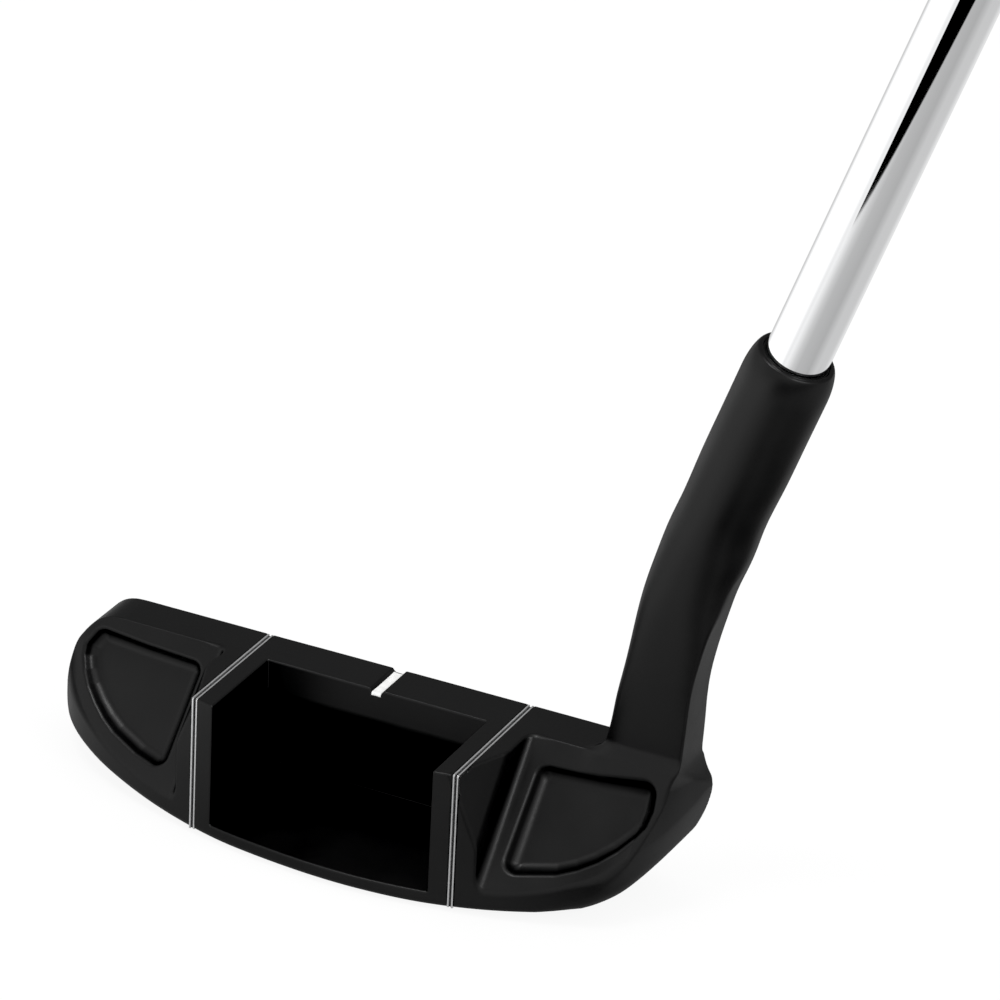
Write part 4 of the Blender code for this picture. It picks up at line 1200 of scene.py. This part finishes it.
def painted_reflection_glow(mat, x, y):
    """Painted reflection for glossy rays: level by bearing, with a painted reflection of the camera's
    dark shape, a painted shadow of the head and painted dark patches; in metres.
    """
    from_x = mat.math("SUBTRACT", x, FOOT_X * MM)
    from_y = mat.math("SUBTRACT", y, FRONT_Y * MM)
    bearing = mat.math("DIVIDE", mat.math("ARCTAN2", from_y, from_x), 2 * math.pi)
    turn = mat.math("FRACT", mat.math("ADD", bearing, 1 - FIRST_BEARING / 360))
    ramp_node = mat.add("ValToRGB", turn)
    stops = ramp_node.color_ramp.elements
    while len(stops) > 1:
        stops.remove(stops[-1])
    for k, (degrees, level) in enumerate(PAINTED_REFLECTION_BEARINGS):
        place = (degrees - FIRST_BEARING) / 360
        stop = stops[0] if k == 0 else stops.new(place)
        stop.position = place
        stop.color = rgba(level)

    def beyond(point, normal, soft):
        """1 past a straight edge on the floor, softened; point and soft in mm."""
        dx, dy = (mat.math("MULTIPLY", mat.math("SUBTRACT", place, at * MM), part)
                  for place, at, part in zip((from_x, from_y), point, normal))
        return mat.span(mat.math("ADD", dx, dy), over=(0.0, soft * MM), smooth=True)

    def distance_from(dx):
        return mat.math("SQRT", mat.math("ADD", mat.math("POWER", dx, 2.0),
                                         mat.math("POWER", from_y, 2.0)))

    def painted_patch_mask(x_span, y_span, soft):
        sides = [mat.math("MULTIPLY", mat.span(place, over=(lo, lo + soft)),
                          mat.span(place, over=(hi - soft, hi), to=(1, 0)))
                 for place, (lo, hi) in ((x, x_span), (y, y_span))]
        return mat.math("MULTIPLY", *sides)

    # painted reflection: the camera's dark shape, painted into the floor's glow
    painted_camera_reflection = mat.math("MULTIPLY", beyond(point=(0, 0), normal=(0.9836, -0.1805), soft=7),
                    beyond(point=(-46, -236), normal=(0.335, -0.942), soft=9))
    far = mat.mix(painted_camera_reflection, ramp_node.outputs[0], rgba(PAINTED_CAMERA_REFLECTION_LEVEL))
    # painted shadow: close to the head the floor's glow is darkened as if in the head's shade, least
    # behind the toe and at the outer heel
    near = mat.math("ADD", mat.span(x, over=(-0.075, -0.015), to=(SHADED_LEVEL_TOE, SHADED_LEVEL_REAR)),
                    mat.span(x, over=(0.050, 0.062), to=(0.0, SHADED_LEVEL_HEEL)))
    reach = distance_from(x)
    painted_shade_color = mat.add("CombineColor", near, near, near).outputs[0]
    lit = mat.mix(mat.span(reach, over=(0.075, 0.105), smooth=True), painted_shade_color, far)
    # painted dark patches standing in for black cards behind and beside the heel, and beside the toe;
    # only glossy rays see them
    from_heel = distance_from(mat.math("SUBTRACT", x, 0.077))
    heel_painted_patch = mat.math("MULTIPLY", painted_patch_mask((0.080, 0.134), (-0.050, 0.075), soft=0.014),
                         mat.span(from_heel, over=(0.056, 0.070), to=(1, 0)))
    rear_painted_patch = painted_patch_mask((0.026, 0.100), (-0.098, -0.004), soft=0.020)
    toe_painted_patch = painted_patch_mask((-0.150, -0.064), (-0.032, 0.060), soft=0.015)
    toe_strength = 0.9
    painted_patches = mat.math("MAXIMUM", mat.math("MAXIMUM", rear_painted_patch, heel_painted_patch),
                     mat.math("MULTIPLY", toe_painted_patch, toe_strength))
    return mat.mix(painted_patches, lit, rgba(PAINTED_PATCH_LEVEL))


def floor_material():
    """Pale sweep: white to the eye; to glossy rays it glows a little darker, as a painted studio
    reflection with painted shade and dark patches.
    """
    glow_strength, eye_white = 1.28, 0.90
    mat = Material("pale_floor")
    ray = mat.add("LightPath").outputs
    tone = mat.noise(scale=3.0, detail=2)
    mat.set(color=mat.mix(tone, rgba(0.90), rgba(0.93)), rough=0.7, spec=0.2,
            normal=mat.bump(mat.noise(scale=900, detail=2), strength=0.05, distance=0.0001))
    x, y, _ = mat.xyz()
    glow = mat.add("Emission", painted_reflection_glow(mat, x, y), glow_strength)
    glossy = mat.add("MixShader", ray["Is Glossy Ray"], mat.bsdf.outputs[0], glow.outputs[0])
    white = mat.add("Emission", rgba(1.0), 1.0)
    seen = mat.add("MixShader", mat.math("MULTIPLY", ray["Is Camera Ray"], eye_white),
                   glossy.outputs[0], white.outputs[0])
    mat.put(mat.tree.nodes["Material Output"].inputs["Surface"], seen.outputs[0])
    return mat.mat


def build_floor(half, z):
    """Square floor, in metres."""
    mat = floor_material()
    mesh = bpy.data.meshes.new("floor")
    corners = [(-half, -half, 0), (half, -half, 0), (half, half, 0), (-half, half, 0)]
    mesh.from_pydata(corners, [], [(0, 1, 2, 3)])
    obj = bpy.data.objects.new("floor", mesh)
    scene.collection.objects.link(obj)
    obj.location = (0, 0, z)
    obj.rotation_euler = Vector((0, 0, 1)).to_track_quat("Z", "Y").to_euler()
    mesh.materials.append(mat)


def area(name, size, place, target, energy):
    """Rectangular light, hidden from the camera; metres and watts."""
    light = bpy.data.lights.new(name, "AREA")
    light.shape = "RECTANGLE"
    light.size, light.size_y = size
    light.energy = energy
    obj = bpy.data.objects.new(name, light)
    scene.collection.objects.link(obj)
    obj.location = place
    obj.rotation_euler = (Vector(target) - Vector(place)).to_track_quat("-Z", "Y").to_euler()
    obj.visible_camera = False


build_floor(half=40, z=-0.0004)
area("overhead", size=(0.28, 0.28), place=(-0.12, -0.24, 1.15), target=(0, 0, 0.02), energy=3.2)
area("side", size=(0.5, 0.3), place=(0.9, -0.35, 0.75), target=(0.02, 0, 0.03), energy=3)

# ---------------------------------------------------------------- camera
AZIMUTH, ELEVATION_ANGLE, ROLL = 0.45443, 0.47049, 0.039266     # radians
SHIFT_RIGHT, SHIFT_UP, DISTANCE = 15.9342, 45.48, 831.681       # from the topline's front edge


def build_camera():
    """Looks down on the head from behind, on the heel side."""
    flat = math.cos(ELEVATION_ANGLE)
    ahead = Vector((-math.sin(AZIMUTH) * flat, math.cos(AZIMUTH) * flat, -math.sin(ELEVATION_ANGLE)))
    level = Vector((math.cos(AZIMUTH), math.sin(AZIMUTH), 0))
    upright = level.cross(ahead)
    right = level * math.cos(ROLL) + upright * math.sin(ROLL)
    up = -level * math.sin(ROLL) + upright * math.cos(ROLL)
    eye = Vector((0, FRONT_Y * MM, 0)) + \
        (right * SHIFT_RIGHT + up * SHIFT_UP - ahead * DISTANCE) * MM
    lens = bpy.data.cameras.new("camera")
    lens.sensor_width, lens.lens = 36, 198
    lens.clip_start, lens.clip_end = 0.05, 200
    camera = bpy.data.objects.new("camera", lens)
    scene.collection.objects.link(camera)
    rows = [(right[k], up[k], -ahead[k], eye[k]) for k in range(3)]
    camera.matrix_world = Matrix((*rows, (0, 0, 0, 1)))
    scene.camera = camera


build_camera()

bpy.context.view_layer.update()
